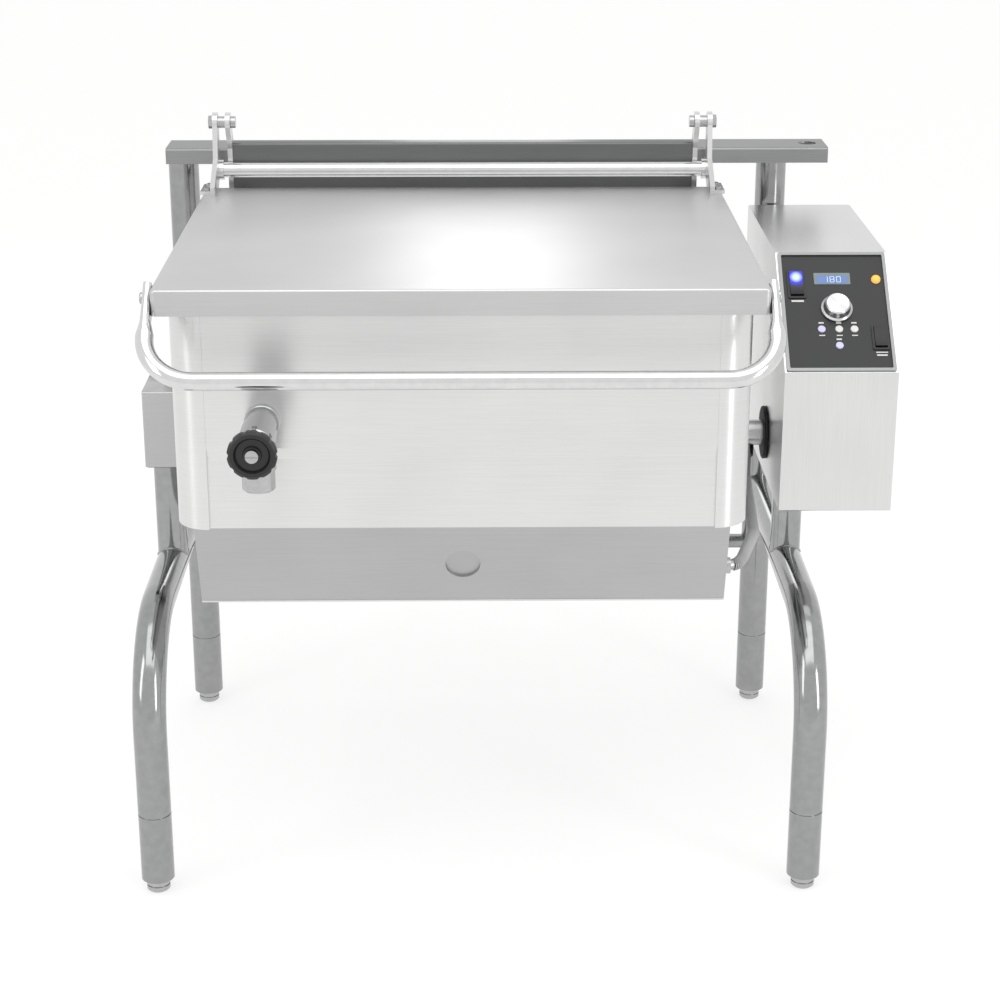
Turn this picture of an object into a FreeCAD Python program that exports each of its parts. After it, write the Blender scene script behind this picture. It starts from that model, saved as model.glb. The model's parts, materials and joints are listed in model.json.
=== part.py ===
"""Tilting braising pan on a bent tube stand, with a hinged lid and a side console.

Lengths are in millimetres. While the pieces are made, X runs to the operator's right from the
middle of the pan, Y runs to the back from the tilting axis, and Z runs up from the floor.
At the end the whole part is moved so that its origin is the middle of its footprint.
"""
import FreeCAD, Part
import math
import os

Vector = FreeCAD.Vector
RIGHT = Vector(1, 0, 0)
BACK = Vector(0, 1, 0)
UP = Vector(0, 0, 1)

# Tubular stand
leg_tube_diameter = 50.8
leg_tube_wall = 2.0
left_frame_gap = 65.0
right_frame_gap = 115.0
front_leg_reach = 340.0
side_run_height = 418.0
leg_bend_radius = 160.0
post_diameter = 48.3
stretcher_diameter = 25.4
stretcher_height = 308.0

# Feet
foot_socket_height = 132.0
foot_gap = 21.0
foot_plug_depth = 60.0
foot_pad_diameter = 36.0
foot_pad_groove = 2.0
foot_stem_diameter = 16.0
foot_travel = 20.0

# Rear rail, which is also the tap shelf
rail_left_overhang = 26.0
rail_right_overhang = 92.0
rail_front_gap = 3.4
rail_depth = 84.0
rail_top = 1028.0
rail_flange = 26.0
rail_sheet = 3.0
rail_leg_gap = 0.2
tap_hole_diameter = 30.0
tap_hole_from_end = 30.0

# Tilting axis
axis_height = 630.0
trunnion_diameter = 41.0
trunnion_bore = 20.0
hub_plate_width = 120.0
hub_plate_below_axis = 46.0
hub_plate_above_axis = 94.0
hub_plate_thickness = 10.0
hub_plate_corner = 14.0
hub_wall = 11.0
hub_length = 20.0
hub_screw_size = 10.0
hub_screw_inset = 18.0
running_clearance = 0.05
running_gap = 0.4

# Pan jacket
jacket_width = 820.0
jacket_front = 415.0
jacket_back = 262.0
jacket_bottom_below_axis = 10.0
jacket_corner_radius = 49.0
jacket_sheet = 2.0
jacket_return = 30.0
panel_recess = 1.5
lower_panel_recess = 7.0
panel_fold_above_axis = 94.0
panel_fold_rise = 18.0

# Braising pan inside the jacket
rim_above_axis = 336.0
rim_thickness = 3.0
rim_overhang = 3.0
rim_turn_down = 9.0
insulation_gap = 28.0
pan_wall = 3.0
pan_floor_above_axis = 123.0
pan_floor_thickness = 12.0
pan_cove_radius = 25.0
pour_lip_width = 250.0
pour_lip_depth = 15.0
pour_lip_taper = 35.0

# Heaters under the pan floor
element_diameter = 12.0
element_count = 4
element_margin = 70.0
element_leg_gap = 70.0
clamp_bar_height = 8.0
clamp_bar_width = 25.0
element_seat_gap = 0.2

# Heater box under the jacket
heater_box_side_inset = 26.0
heater_box_depth = 131.0
heater_box_front_slope = 48.0
heater_box_rear_slope = 40.0
heater_box_sheet = 2.0
heater_flange_inset = 3.0
heater_cover_thickness = 2.5
heater_cover_lip = 0.6
port_diameter = 51.0
port_recess = 4.0
port_plug_lip = 5.0
flange_bolt_size = 8.0
flange_bolts_per_side = 3

# Flexible conduit from the hollow right shaft to the heater box
conduit_diameter = 17.0
conduit_bend_radius = 30.0
conduit_hang = 52.0
conduit_entry_reach = 275.0
conduit_entry_rise = 19.0
conduit_entry_stub = 26.0
conduit_nut_wall = 4.0
conduit_nut_length = 18.0

# Lid
lid_side_overhang = 17.0
lid_front_overhang = 15.0
lid_rear_overhang = 5.0
lid_above_rim = 9.0
lid_skirt = 37.0
lid_sheet = 2.0
lid_corner_radius = 8.0
lid_edge_radius = 4.0
lid_pad_size = 22.0
lid_pad_clearance = 0.3
stiffener_width = 46.0
stiffener_depth = 14.0
stiffener_sheet = 1.5

# Lid handle, a bent tube with flattened ends
handle_tube_diameter = 25.4
handle_tube_wall = 1.65
handle_end_from_front = 28.0
handle_end_below_lid = 18.0
handle_slope = 40.3
handle_straight_length = 3.6
handle_bend_radius = 72.0
handle_flat_thickness = 12.0
handle_flat_width = 34.0
handle_flat_length = 34.0
handle_taper_length = 28.0
handle_bolt_diameter = 10.0
handle_bolt_head_diameter = 17.0
handle_bolt_head_height = 5.0
handle_nut_height = 6.0

# Lid hinge
hinge_behind_jacket = 28.0
hinge_above_lid = 105.0
hinge_pin_diameter = 12.0
hinge_plate = 8.0
hinge_eye_radius = 16.0
arm_from_lid_side = 17.0
arm_gap = 13.0
arm_foot_length = 62.0
arm_foot_width = 16.0
arm_foot_thickness = 6.0
arm_bolt_size = 6.0
arm_bolt_inset = 13.0
brace_tube_diameter = 25.4
brace_tube_wall = 1.65
brace_tube_before_hinge = 5.0
brace_tube_above_lid = 26.0
bracket_neck_behind_hinge = 11.0
bracket_neck_depth = 26.0
bracket_foot_height = 90.0
bracket_foot_drop = 31.0
bracket_foot_bevel = 16.0
bracket_tab_width = 34.0
bracket_tab_thickness = 5.0
channel_above_lid = 67.0
channel_height = 82.0
channel_sheet = 3.0
channel_setback = 5.0

# Draw-off valve
valve_offset = 280.0
valve_above_floor = 30.0
valve_body_diameter = 44.0
valve_inlet_bore = 30.0
valve_chamber_bore = 38.0
valve_collar_diameter = 50.0
valve_collar_length = 12.0
valve_seat_from_panel = 57.0
valve_bonnet_length = 16.0
valve_bonnet_diameter = 50.0
valve_outlet_diameter = 46.0
valve_outlet_wall = 4.0
valve_outlet_drop = 74.0
valve_spigot_length = 30.0
valve_spigot_bevel = 2.0
valve_shoulder = 2.0
valve_outlet_back = 22.0
valve_disc_diameter = 34.0
valve_disc_thickness = 8.0
valve_stem_diameter = 12.0
valve_travel = 16.0
handwheel_diameter = 68.0
handwheel_thickness = 15.0
handwheel_gap = 24.0
handwheel_scallops = 10

# Left trunnion housing
trunnion_cover_width = 58.0
trunnion_cover_front = 55.0
trunnion_cover_back = 52.0
trunnion_cover_below_axis = 37.0
trunnion_cover_above_axis = 87.0
trunnion_cover_sheet = 2.0
bearing_block_width = 40.0
bearing_block_depth = 84.0
bearing_block_rise = 42.0
bush_wall = 4.0

# Console
console_gap = 75.0
console_width = 172.0
console_front = 187.0
console_rear_gap = 6.6
console_below_axis = 68.0
console_nose_above_axis = 153.5
console_nose_to_top = 147.1
console_slope_run = 163.0
console_sheet = 2.0
console_edge_radius = 3.0
rear_cover_vents = 7

# Control panel, measured across and up the sloping face
panel_side_margin = 8.0
panel_end_margin = 7.0
panel_thickness = 2.0
bezel_width = 5.0
bezel_height = 3.0
control_gap = 0.4

# Controls: middle across and up the panel, and size
power_rocker = (28.5, 160.0, 21.0, 46.0)
tilt_rocker = (149.5, 62.5, 19.0, 38.0)
display_window = (84.1, 169.7, 56.0, 21.0)
signal_lamp = (151.6, 167.8)
signal_lamp_diameter = 14.0
thermostat_place = (86.9, 114.0)
knob_diameter = 48.0
knob_height = 18.0
knob_shaft_diameter = 8.0
button_places = ((61.2, 77.7), (87.9, 77.7), (111.2, 77.7), (86.4, 48.2))
button_diameter = 12.0
button_height = 4.0
button_travel = 1.5
button_plunger_diameter = 4.0
button_plunger_length = 6.0
rocker_height = 6.0
rocker_depth = 3.0
rocker_pivot_drop = 1.0
rocker_pivot_diameter = 3.0
rocker_pivot_stub = 1.5
switch_body_depth = 22.0
switch_well_depth = 12.0
switch_flange = 3.5
display_body_depth = 6.0
lamp_tail = 20.0
board_drop = 24.0
board_thickness = 1.6
thermostat_diameter = 40.0
thermostat_length = 32.0

# Shaft seal and drive
seal_diameter = 85.0
seal_thickness = 6.0
drive_shaft_in_console = 147.0
shaft_end_stub = 8.0
gearbox_inset = 20.0
gearbox_radius = 46.0
gearbox_foot = 14.0
gearbox_step = 8.0
gearbox_base_height = 12.0
worm_rise = 50.0
worm_case_diameter = 44.0
worm_case_length = 116.0
motor_diameter = 76.0
motor_length = 105.0
motor_ribs = 5
motor_rib_depth = 2.5

# Electrical pieces on the console's floor
contactor_count = 2
contactor_width = 45.0
contactor_depth = 44.0
contactor_height = 74.5
contactor_pitch = 50.0
contactor_from_back = 111.0
mounting_rail_width = 35.0
mounting_rail_height = 7.5
gland_diameter = 25.0
gland_wall = 3.0
gland_flange = 5.0
gland_below = 22.0
gland_from_side = 45.0
gland_from_back = 60.0

# Stand and pan, worked out from the sizes above
leg_radius = leg_tube_diameter / 2
post_radius = post_diameter / 2
trunnion_radius = trunnion_diameter / 2
half_jacket = jacket_width / 2
left_frame_offset = half_jacket + left_frame_gap
right_frame_offset = half_jacket + right_frame_gap
jacket_bottom = axis_height - jacket_bottom_below_axis
panel_fold_bottom = axis_height + panel_fold_above_axis
panel_fold_top = panel_fold_bottom + panel_fold_rise
rim_height = axis_height + rim_above_axis
pan_floor_height = axis_height + pan_floor_above_axis
pan_floor_underside = pan_floor_height - pan_floor_thickness
pan_front = jacket_front - insulation_gap
pan_back = jacket_back - insulation_gap
half_pan = half_jacket - insulation_gap
heater_box_width = jacket_width - 2 * heater_box_side_inset
heater_box_bottom = jacket_bottom - heater_box_depth
conduit_radius = conduit_diameter / 2

# Lid, handle and hinge, worked out
half_lid = half_jacket + lid_side_overhang
lid_front = jacket_front + lid_front_overhang
lid_back = jacket_back + lid_rear_overhang
lid_top = rim_height + lid_above_rim
lid_underside = lid_top - lid_sheet
lid_skirt_bottom = lid_top - lid_skirt
handle_radius = handle_tube_diameter / 2
half_handle = half_lid + handle_flat_thickness / 2
handle_end_back = lid_front - handle_end_from_front
handle_end_height = lid_top - handle_end_below_lid
hinge_reach = jacket_back + hinge_behind_jacket
hinge_height = lid_top + hinge_above_lid
arm_offset = half_lid - arm_from_lid_side
brace_tube_reach = hinge_reach - brace_tube_before_hinge
brace_tube_height = lid_top + brace_tube_above_lid
bracket_front = hinge_reach + bracket_neck_behind_hinge
bracket_back = bracket_front + bracket_neck_depth
channel_top = lid_top + channel_above_lid

# Rear rail and rear legs, which stand behind the hinge, worked out
rail_front = bracket_back + rail_front_gap
rear_leg_reach = rail_front + rail_sheet + rail_leg_gap + leg_radius
rail_left_end = left_frame_offset + rail_left_overhang
rail_right_end = right_frame_offset + rail_right_overhang

# Valve, bearing cover and console, worked out
valve_height = pan_floor_height + valve_above_floor
valve_chamber_radius = valve_outlet_diameter / 2 + valve_shoulder
valve_chamber_length = valve_outlet_back + valve_chamber_radius
trunnion_cover_bottom = axis_height - trunnion_cover_below_axis
trunnion_cover_top = axis_height + trunnion_cover_above_axis
console_inner_offset = half_jacket + console_gap
console_back = rear_leg_reach - leg_radius - console_rear_gap - console_sheet
console_bottom = axis_height - console_below_axis
console_nose_height = axis_height + console_nose_above_axis
console_top = console_nose_height + console_nose_to_top
console_slope = math.degrees(math.atan2(console_nose_to_top, console_slope_run))
panel_length = math.hypot(console_nose_to_top, console_slope_run)
drive_shaft_end = console_inner_offset + drive_shaft_in_console


def cuboid(x_low, x_high, y_low, y_high, z_low, z_high):
    corner = Vector(x_low, y_low, z_low)
    return Part.makeBox(x_high - x_low, y_high - y_low, z_high - z_low, corner)


def rod(radius, start, direction, length):
    return Part.makeCylinder(radius, length, start, direction)


def pipe(outer_radius, inner_radius, start, direction, length):
    return rod(outer_radius, start, direction, length).cut(rod(inner_radius, start, direction, length))


def fused(pieces):
    first = pieces[0]
    if len(pieces) == 1:
        return first
    return first.fuse(pieces[1:]).removeSplitter()


def side_profile(points, x_low, x_high):
    """Solid with the given outline of (y, z) points, running from x_low to x_high."""
    corners = [Vector(x_low, y, z) for y, z in points]
    face = Part.Face(Part.makePolygon(corners + corners[:1]))
    return face.extrude(RIGHT * (x_high - x_low))


def front_profile(points, y_low, y_high):
    """Solid with the given outline of (x, z) points, running from y_low to y_high."""
    corners = [Vector(x, y_low, z) for x, z in points]
    face = Part.Face(Part.makePolygon(corners + corners[:1]))
    return face.extrude(BACK * (y_high - y_low))


def edges_along(shape, direction, wanted=lambda middle: True):
    """Straight edges that run along a direction and whose middle is wanted."""
    found = []
    for edge in shape.Edges:
        if len(edge.Vertexes) != 2:
            continue
        run = edge.Vertexes[1].Point - edge.Vertexes[0].Point
        straight = abs(edge.Length - run.Length) < 1e-6
        if straight and abs(abs(run.normalize() * direction) - 1) < 1e-6 and wanted(edge.CenterOfMass):
            found.append(edge)
    return found


def rounded_block(half_width, front, back, z_low, z_high, radius):
    """Upright block with rounded corners; front and back are distances from the tilting axis."""
    block = cuboid(-half_width, half_width, -front, back, z_low, z_high)
    return block.makeFillet(radius, edges_along(block, UP))


def rounded_path(corners, radius):
    """Straight runs joined by tangent arcs of one radius."""
    edges = []
    start = corners[0]
    for before, corner, after in zip(corners, corners[1:], corners[2:]):
        heading_in = (corner - before).normalize()
        heading_out = (after - corner).normalize()
        turn = heading_in.getAngle(heading_out)
        setback = radius * math.tan(turn / 2)
        arc_start = corner - heading_in * setback
        arc_end = corner + heading_out * setback
        inward = (heading_out - heading_in).normalize()
        arc_middle = corner + inward * (radius / math.cos(turn / 2) - radius)
        edges.append(Part.LineSegment(start, arc_start).toShape())
        edges.append(Part.Arc(arc_start, arc_middle, arc_end).toShape())
        start = arc_end
    edges.append(Part.LineSegment(start, corners[-1]).toShape())
    return Part.Wire(edges)


def bent_rod(corners, bend_radius, radius):
    path = rounded_path(corners, bend_radius)
    heading = corners[1] - corners[0]
    circle = Part.Wire(Part.makeCircle(radius, corners[0], heading))
    return path.makePipeShell([circle], True, False)


def bent_pipe(corners, bend_radius, radius, wall):
    return bent_rod(corners, bend_radius, radius).cut(bent_rod(corners, bend_radius, radius - wall))


def hex_bolt(size, shank_length, seat, inward):
    """Hexagon head on the seat, with its shank running inward."""
    across_corners = size * 1.8
    outward = inward * -1
    head = Part.Face(Part.makePolygon(hexagon(across_corners / 2))).extrude(UP * size * 0.6)
    head.Placement = FreeCAD.Placement(seat, FreeCAD.Rotation(UP, outward))
    return head.fuse(rod(size / 2, seat, inward, shank_length)).removeSplitter()


def hexagon(corner_radius):
    corners = []
    for step in range(7):
        angle = math.radians(60 * step)
        corners.append(Vector(corner_radius * math.cos(angle), corner_radius * math.sin(angle), 0))
    return corners


def frame_x(side):
    return right_frame_offset if side > 0 else -left_frame_offset


def leg_corners(side, bottom):
    x = frame_x(side)
    return [
        Vector(x, -front_leg_reach, bottom),
        Vector(x, -front_leg_reach, side_run_height),
        Vector(x, rear_leg_reach, side_run_height),
    ]


def bent_leg(side):
    """Front leg that bends back into the side run and meets the rear leg."""
    corners = leg_corners(side, foot_socket_height)
    leg = bent_pipe(corners, leg_bend_radius, leg_radius, leg_tube_wall)
    rear = rod(leg_radius, Vector(frame_x(side), rear_leg_reach, 0), UP, rail_top)
    return leg.cut(rear)


def rear_leg(side):
    start = Vector(frame_x(side), rear_leg_reach, foot_socket_height)
    length = rail_top - rail_sheet - foot_socket_height
    return pipe(leg_radius, leg_radius - leg_tube_wall, start, UP, length)


def post(side):
    """Upright that carries one trunnion bearing."""
    x = frame_x(side)
    top = bearing_seat_height(side)
    start = Vector(x, 0, side_run_height)
    tube = pipe(post_radius, post_radius - leg_tube_wall, start, UP, top - side_run_height)
    return tube.cut(bent_rod(leg_corners(side, foot_socket_height), leg_bend_radius, leg_radius))


def bearing_seat_height(side):
    if side > 0:
        return console_bottom
    return axis_height - bearing_block_rise


def foot_places():
    places = {}
    for side, side_name in ((-1, "left"), (1, "right")):
        places["front_" + side_name] = (frame_x(side), -front_leg_reach)
        places["rear_" + side_name] = (frame_x(side), rear_leg_reach)
    return places


def foot_sockets():
    """Sleeve at the bottom of each leg, with the threaded plug that holds the foot."""
    sockets = []
    stem_hole = foot_stem_diameter / 2 + running_clearance
    for x, y in foot_places().values():
        length = foot_socket_height - foot_gap
        sleeve = pipe(leg_radius, leg_radius - leg_tube_wall, Vector(x, y, foot_gap), UP, length)
        plug = pipe(leg_radius - leg_tube_wall, stem_hole, Vector(x, y, foot_gap), UP, foot_plug_depth)
        groove = pipe(leg_radius + 1, leg_radius - 1, Vector(x, y, foot_socket_height - 1.5), UP, 1.5)
        sockets.append(sleeve.fuse(plug).removeSplitter().cut(groove))
    return Part.makeCompound(sockets)


def levelling_foot(x, y):
    """Round foot with a groove and a threaded stem, screwed fully in."""
    radius = foot_pad_diameter / 2
    height = foot_gap - 0.3
    bevel = 3.0
    groove_low = height * 0.45
    groove_high = groove_low + foot_pad_groove
    stem = foot_stem_diameter / 2
    stem_top = foot_gap + foot_plug_depth + foot_travel
    outline = [
        (0, 0), (radius - bevel, 0), (radius, bevel), (radius, groove_low),
        (radius - foot_pad_groove, groove_low), (radius - foot_pad_groove, groove_high),
        (radius, groove_high), (radius, height), (stem, height), (stem, stem_top), (0, stem_top),
    ]
    corners = [Vector(x + r, y, z) for r, z in outline]
    face = Part.Face(Part.makePolygon(corners + corners[:1]))
    return face.revolve(Vector(x, y, 0), UP, 360)


def rear_rail():
    """Folded channel on top of the rear legs, with the tap hole near its right end."""
    back = rail_front + rail_depth
    outside = cuboid(-rail_left_end, rail_right_end, rail_front, back, rail_top - rail_flange, rail_top)
    long_top_edges = edges_along(outside, RIGHT, lambda middle: middle.z > rail_top - 1)
    outside = outside.makeFillet(rail_sheet * 1.5, long_top_edges)
    inside = cuboid(-rail_left_end - 1, rail_right_end + 1, rail_front + rail_sheet, back - rail_sheet,
                    rail_top - rail_flange - 1, rail_top - rail_sheet)
    tap_x = rail_right_end - tap_hole_from_end
    tap_hole = rod(tap_hole_diameter / 2, Vector(tap_x, rail_front + rail_depth / 2, rail_top - 20), UP, 40)
    return outside.cut(inside).cut(tap_hole)


def rear_stretcher():
    start = Vector(-left_frame_offset, rear_leg_reach, stretcher_height)
    bar = rod(stretcher_diameter / 2, start, RIGHT, left_frame_offset + right_frame_offset)
    for side in (-1, 1):
        bar = bar.cut(rod(leg_radius, Vector(frame_x(side), rear_leg_reach, 0), UP, rail_top))
    return bar


def left_bearing():
    """Pillow block on the left post, with a wide base that the cover is screwed to."""
    seat = bearing_seat_height(-1)
    x = -left_frame_offset
    half = bearing_block_width / 2
    radius = trunnion_radius + bush_wall
    boss = radius + 9.0
    half_base = trunnion_cover_width / 2 - trunnion_cover_sheet
    base = cuboid(x - half_base, x + half_base, -bearing_block_depth / 2, bearing_block_depth / 2, seat, seat + 12)
    body = rod(boss, Vector(x - half, 0, axis_height), RIGHT, 2 * half)
    web = cuboid(x - half, x + half, -boss, boss, seat, axis_height)
    bore = rod(radius, Vector(x - half - 1, 0, axis_height), RIGHT, 2 * half + 2)
    return fused([base, web, body]).cut(bore)


def left_bearing_bush():
    radius = trunnion_radius + bush_wall
    start = Vector(-left_frame_offset - bearing_block_width / 2, 0, axis_height)
    return pipe(radius, trunnion_radius + running_clearance, start, RIGHT, bearing_block_width)


def left_trunnion_cover():
    """Sheet box over the left bearing, open at the bottom round the post and towards the pan."""
    x = -left_frame_offset
    half = trunnion_cover_width / 2
    outer = cuboid(x - half, x + half, -trunnion_cover_front, trunnion_cover_back,
                   trunnion_cover_bottom, trunnion_cover_top)
    corners = edges_along(outer, UP) + edges_along(outer, RIGHT, lambda m: m.z > trunnion_cover_top - 1)
    outer = outer.makeFillet(2.5, corners)
    inner = cuboid(x - half + trunnion_cover_sheet, x + half - trunnion_cover_sheet,
                   -trunnion_cover_front + trunnion_cover_sheet, trunnion_cover_back - trunnion_cover_sheet,
                   trunnion_cover_bottom - 1, trunnion_cover_top - trunnion_cover_sheet)
    slot_half = trunnion_radius + 2
    shaft_way = rod(slot_half, Vector(x, 0, axis_height), RIGHT, half + 1)
    shaft_slot = cuboid(x, x + half + 1, -slot_half, slot_half, trunnion_cover_bottom - 1, axis_height)
    return outer.cut(inner).cut(shaft_way).cut(shaft_slot)


def jacket():
    """Sheet skin round the pan: rounded corners, a set-back front panel with one fold."""
    top = rim_height - rim_thickness
    outer = rounded_block(half_jacket, jacket_front, jacket_back, jacket_bottom, top, jacket_corner_radius)
    inner_bottom = jacket_bottom + jacket_sheet
    inner = rounded_block(half_jacket - jacket_sheet, jacket_front - jacket_sheet,
                          jacket_back - jacket_sheet, inner_bottom, top + 1,
                          jacket_corner_radius - jacket_sheet)
    outer = outer.cut(front_recess(0))
    inner = inner.cut(front_recess(jacket_sheet))
    opening = rounded_block(half_jacket - jacket_return, jacket_front - jacket_return,
                            jacket_back - jacket_return, jacket_bottom - 1, inner_bottom + 1,
                            jacket_corner_radius - jacket_return / 2)
    skin = outer.cut(inner).cut(opening)
    valve_hole = rod(valve_body_diameter / 2, Vector(-valve_offset, -jacket_front - 1, valve_height), BACK,
                     insulation_gap)
    lip_way = pour_lip_solid(rim_thickness, jacket_front + 20)
    return skin.cut(valve_hole).cut(lip_way)


def front_recess(sheet):
    """What the front panel leaves out of the jacket, one sheet deeper on the inner side."""
    half = half_jacket - jacket_corner_radius + sheet
    front = -jacket_front - 1
    upper = -jacket_front + panel_recess + sheet
    lower = -jacket_front + lower_panel_recess + sheet
    outline = [
        (front, jacket_bottom - 2), (lower, jacket_bottom - 2), (lower, panel_fold_bottom),
        (upper, panel_fold_top), (upper, rim_height + 2), (front, rim_height + 2),
    ]
    return side_profile(outline, -half, half)


def pour_lip_solid(grow, reach):
    """Space of the pouring trough in the front rim, made larger by grow on its three walls."""
    top = rim_height + 5
    low = rim_height - pour_lip_depth - grow
    half_top = pour_lip_width / 2 + grow
    half_low = half_top - pour_lip_taper
    outline = [(-half_top, top), (-half_top, rim_height), (-half_low, low), (half_low, low),
               (half_top, rim_height), (half_top, top)]
    return front_profile(outline, -reach, -pan_front + pan_wall + 5)


def inner_pan():
    """Braising pan with coved inside corners, a flat rim turned down outside and a pouring lip."""
    top = rim_height
    radius = jacket_corner_radius - insulation_gap / 2
    outer = rounded_block(half_pan, pan_front, pan_back, pan_floor_underside, top, radius)
    inner = rounded_block(half_pan - pan_wall, pan_front - pan_wall, pan_back - pan_wall,
                          pan_floor_height, top + 1, radius - pan_wall)
    inner = inner.makeFillet(pan_cove_radius * 0.7, [
        edge for edge in inner.Edges if abs(edge.BoundBox.ZMax - pan_floor_height) < 1e-6])
    rim_out = rounded_block(half_jacket + rim_overhang, jacket_front + rim_overhang,
                            jacket_back + rim_overhang, top - rim_turn_down, top,
                            jacket_corner_radius + rim_overhang)
    rim_in = rounded_block(half_jacket, jacket_front, jacket_back,
                           top - rim_turn_down - 1, top - rim_thickness, jacket_corner_radius)
    rim = rim_out.cut(rim_in)
    reach = jacket_front + rim_overhang
    trough = pour_lip_solid(rim_thickness, reach).common(
        cuboid(-half_pan, half_pan, -reach, -pan_front + pan_wall, 0, top))
    pan = fused([outer, rim, trough]).cut(inner).cut(pour_lip_solid(0, reach + 1))
    outlet = rod(valve_inlet_bore / 2, Vector(-valve_offset, -pan_front - 1, valve_height), BACK, 20)
    return pan.cut(outlet)


def element_places():
    """Front to back places of the heaters' middles."""
    first = -pan_front + element_margin
    last = pan_back - element_margin
    step = (last - first) / (element_count - 1)
    return [first + step * number for number in range(element_count)]


def heating_elements():
    """U-shaped tubular heaters lying against the pan floor."""
    reach = half_pan - element_margin
    height = pan_floor_underside - element_diameter / 2 - element_seat_gap
    half_gap = element_leg_gap / 2
    elements = []
    for y in element_places():
        corners = [
            Vector(reach, y - half_gap, height), Vector(-reach, y - half_gap, height),
            Vector(-reach, y + half_gap, height), Vector(reach, y + half_gap, height),
        ]
        elements.append(bent_rod(corners, half_gap * 0.8, element_diameter / 2))
    return Part.makeCompound(elements)


def clamp_bars():
    """Flat bars under the heaters, held up by studs on the pan floor."""
    low = pan_floor_underside - element_diameter - 2 * element_seat_gap - clamp_bar_height
    front = -pan_front + element_margin / 3
    back = pan_back - element_margin / 3
    middles = element_places()
    stud_places = [(near + far) / 2 for near, far in zip(middles, middles[1:])]
    bars = []
    for x in (-half_pan / 2, 0, half_pan / 2):
        half = clamp_bar_width / 2
        pieces = [cuboid(x - half, x + half, front, back, low, low + clamp_bar_height)]
        for y in stud_places:
            pieces.append(rod(5, Vector(x, y, low + clamp_bar_height), UP,
                              pan_floor_underside - low - clamp_bar_height))
            pieces.append(hex_bolt(10, 1, Vector(x, y, low), UP))
        bars.append(fused(pieces))
    return Part.makeCompound(bars)


def heater_profile(sheet):
    """Side outline of the heater box, made smaller by the sheet."""
    top = jacket_bottom
    front = -jacket_front + lower_panel_recess + sheet
    back = jacket_back - heater_flange_inset - sheet
    return [
        (front, top), (front + heater_box_front_slope, heater_box_bottom),
        (back - heater_box_rear_slope, heater_box_bottom), (back, top),
    ]


def heater_box():
    """Folded walls of the heater box with a flange under the jacket's inward return."""
    half = heater_box_width / 2
    outer = side_profile(heater_profile(0), -half, half)
    flange_half = half_jacket - heater_flange_inset
    flange_front = jacket_front - lower_panel_recess
    flange_back = jacket_back - heater_flange_inset
    flange = rounded_block(flange_half, flange_front, flange_back,
                           jacket_bottom - heater_box_sheet, jacket_bottom, jacket_corner_radius - 4)
    inner = side_profile(heater_profile(heater_box_sheet), -half + heater_box_sheet,
                         half - heater_box_sheet)
    box = outer.fuse(flange).cut(inner)
    through = 4 * heater_box_sheet
    port_start = port_place() + port_direction() * through / 2
    box = box.cut(rod(port_diameter / 2, port_start, port_direction() * -1, through))
    for place in flange_bolt_places():
        box = box.cut(rod(flange_bolt_size / 2, place, UP, heater_box_sheet))
    return box.cut(rod(conduit_radius, conduit_corners()[-1], RIGHT * -1, through))


def port_direction():
    """Outward normal of the sloping front of the heater box."""
    rise = jacket_bottom - heater_box_bottom
    return Vector(0, -rise, -heater_box_front_slope).normalize()


def port_place():
    middle = (jacket_bottom + heater_box_bottom) / 2
    front = -jacket_front + lower_panel_recess + heater_box_front_slope / 2
    return Vector(0, front, middle)


def port_plug():
    """Shallow dished disc that closes the round port, set back behind the sloping front."""
    inward = port_direction() * -1
    start = port_place() + inward * heater_box_sheet
    radius = port_diameter / 2
    cup = rod(radius + port_plug_lip, start, inward, port_recess)
    well = rod(radius, start + inward * -1, inward, port_recess - heater_box_sheet / 2)
    return cup.cut(well)


def heater_cover():
    """Removable bottom of the heater box."""
    half = heater_box_width / 2 + heater_cover_lip / 3
    front = -jacket_front + lower_panel_recess + heater_box_front_slope - heater_cover_lip
    back = jacket_back - heater_flange_inset - heater_box_rear_slope + heater_cover_lip
    plate = cuboid(-half, half, front, back, heater_box_bottom - heater_cover_thickness, heater_box_bottom)
    return plate.makeFillet(3, edges_along(plate, UP))


def flange_bolt_places():
    """Seats of the bolts under the heater box flange, down each side."""
    x = (half_jacket + heater_box_width / 2) / 2 - 0.5
    first = -jacket_front + jacket_corner_radius
    last = jacket_back - jacket_corner_radius
    places = []
    for number in range(flange_bolts_per_side):
        y = first + (last - first) * number / (flange_bolts_per_side - 1)
        for side in (-1, 1):
            places.append(Vector(side * x, y, jacket_bottom - heater_box_sheet))
    return places


def flange_bolts():
    return Part.makeCompound([hex_bolt(flange_bolt_size, heater_box_sheet, place, UP)
                              for place in flange_bolt_places()])


def hub_plate(side):
    """Upright doubler plate on the jacket's side, with a raised hub round the tilting axis."""
    x = side * half_jacket
    half = hub_plate_width / 2
    out = RIGHT * side
    low, high = sorted((x, x + side * hub_plate_thickness))
    bottom = axis_height - hub_plate_below_axis
    top = axis_height + hub_plate_above_axis
    plate = cuboid(low, high, -half, half, bottom, top)
    plate = plate.makeFillet(hub_plate_corner, edges_along(plate, RIGHT))
    hub = rod(trunnion_radius + hub_wall, Vector(x, 0, axis_height), out, hub_length)
    bore = rod(trunnion_radius, Vector(x, 0, axis_height), out, hub_length)
    seat_x = x + side * hub_plate_thickness
    screws = [hex_bolt(hub_screw_size, hub_plate_thickness / 2, Vector(seat_x, y, top - hub_screw_inset), out * -1)
              for y in (hub_screw_inset - half, half - hub_screw_inset)]
    return fused([plate.fuse(hub).cut(bore)] + screws)


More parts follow.
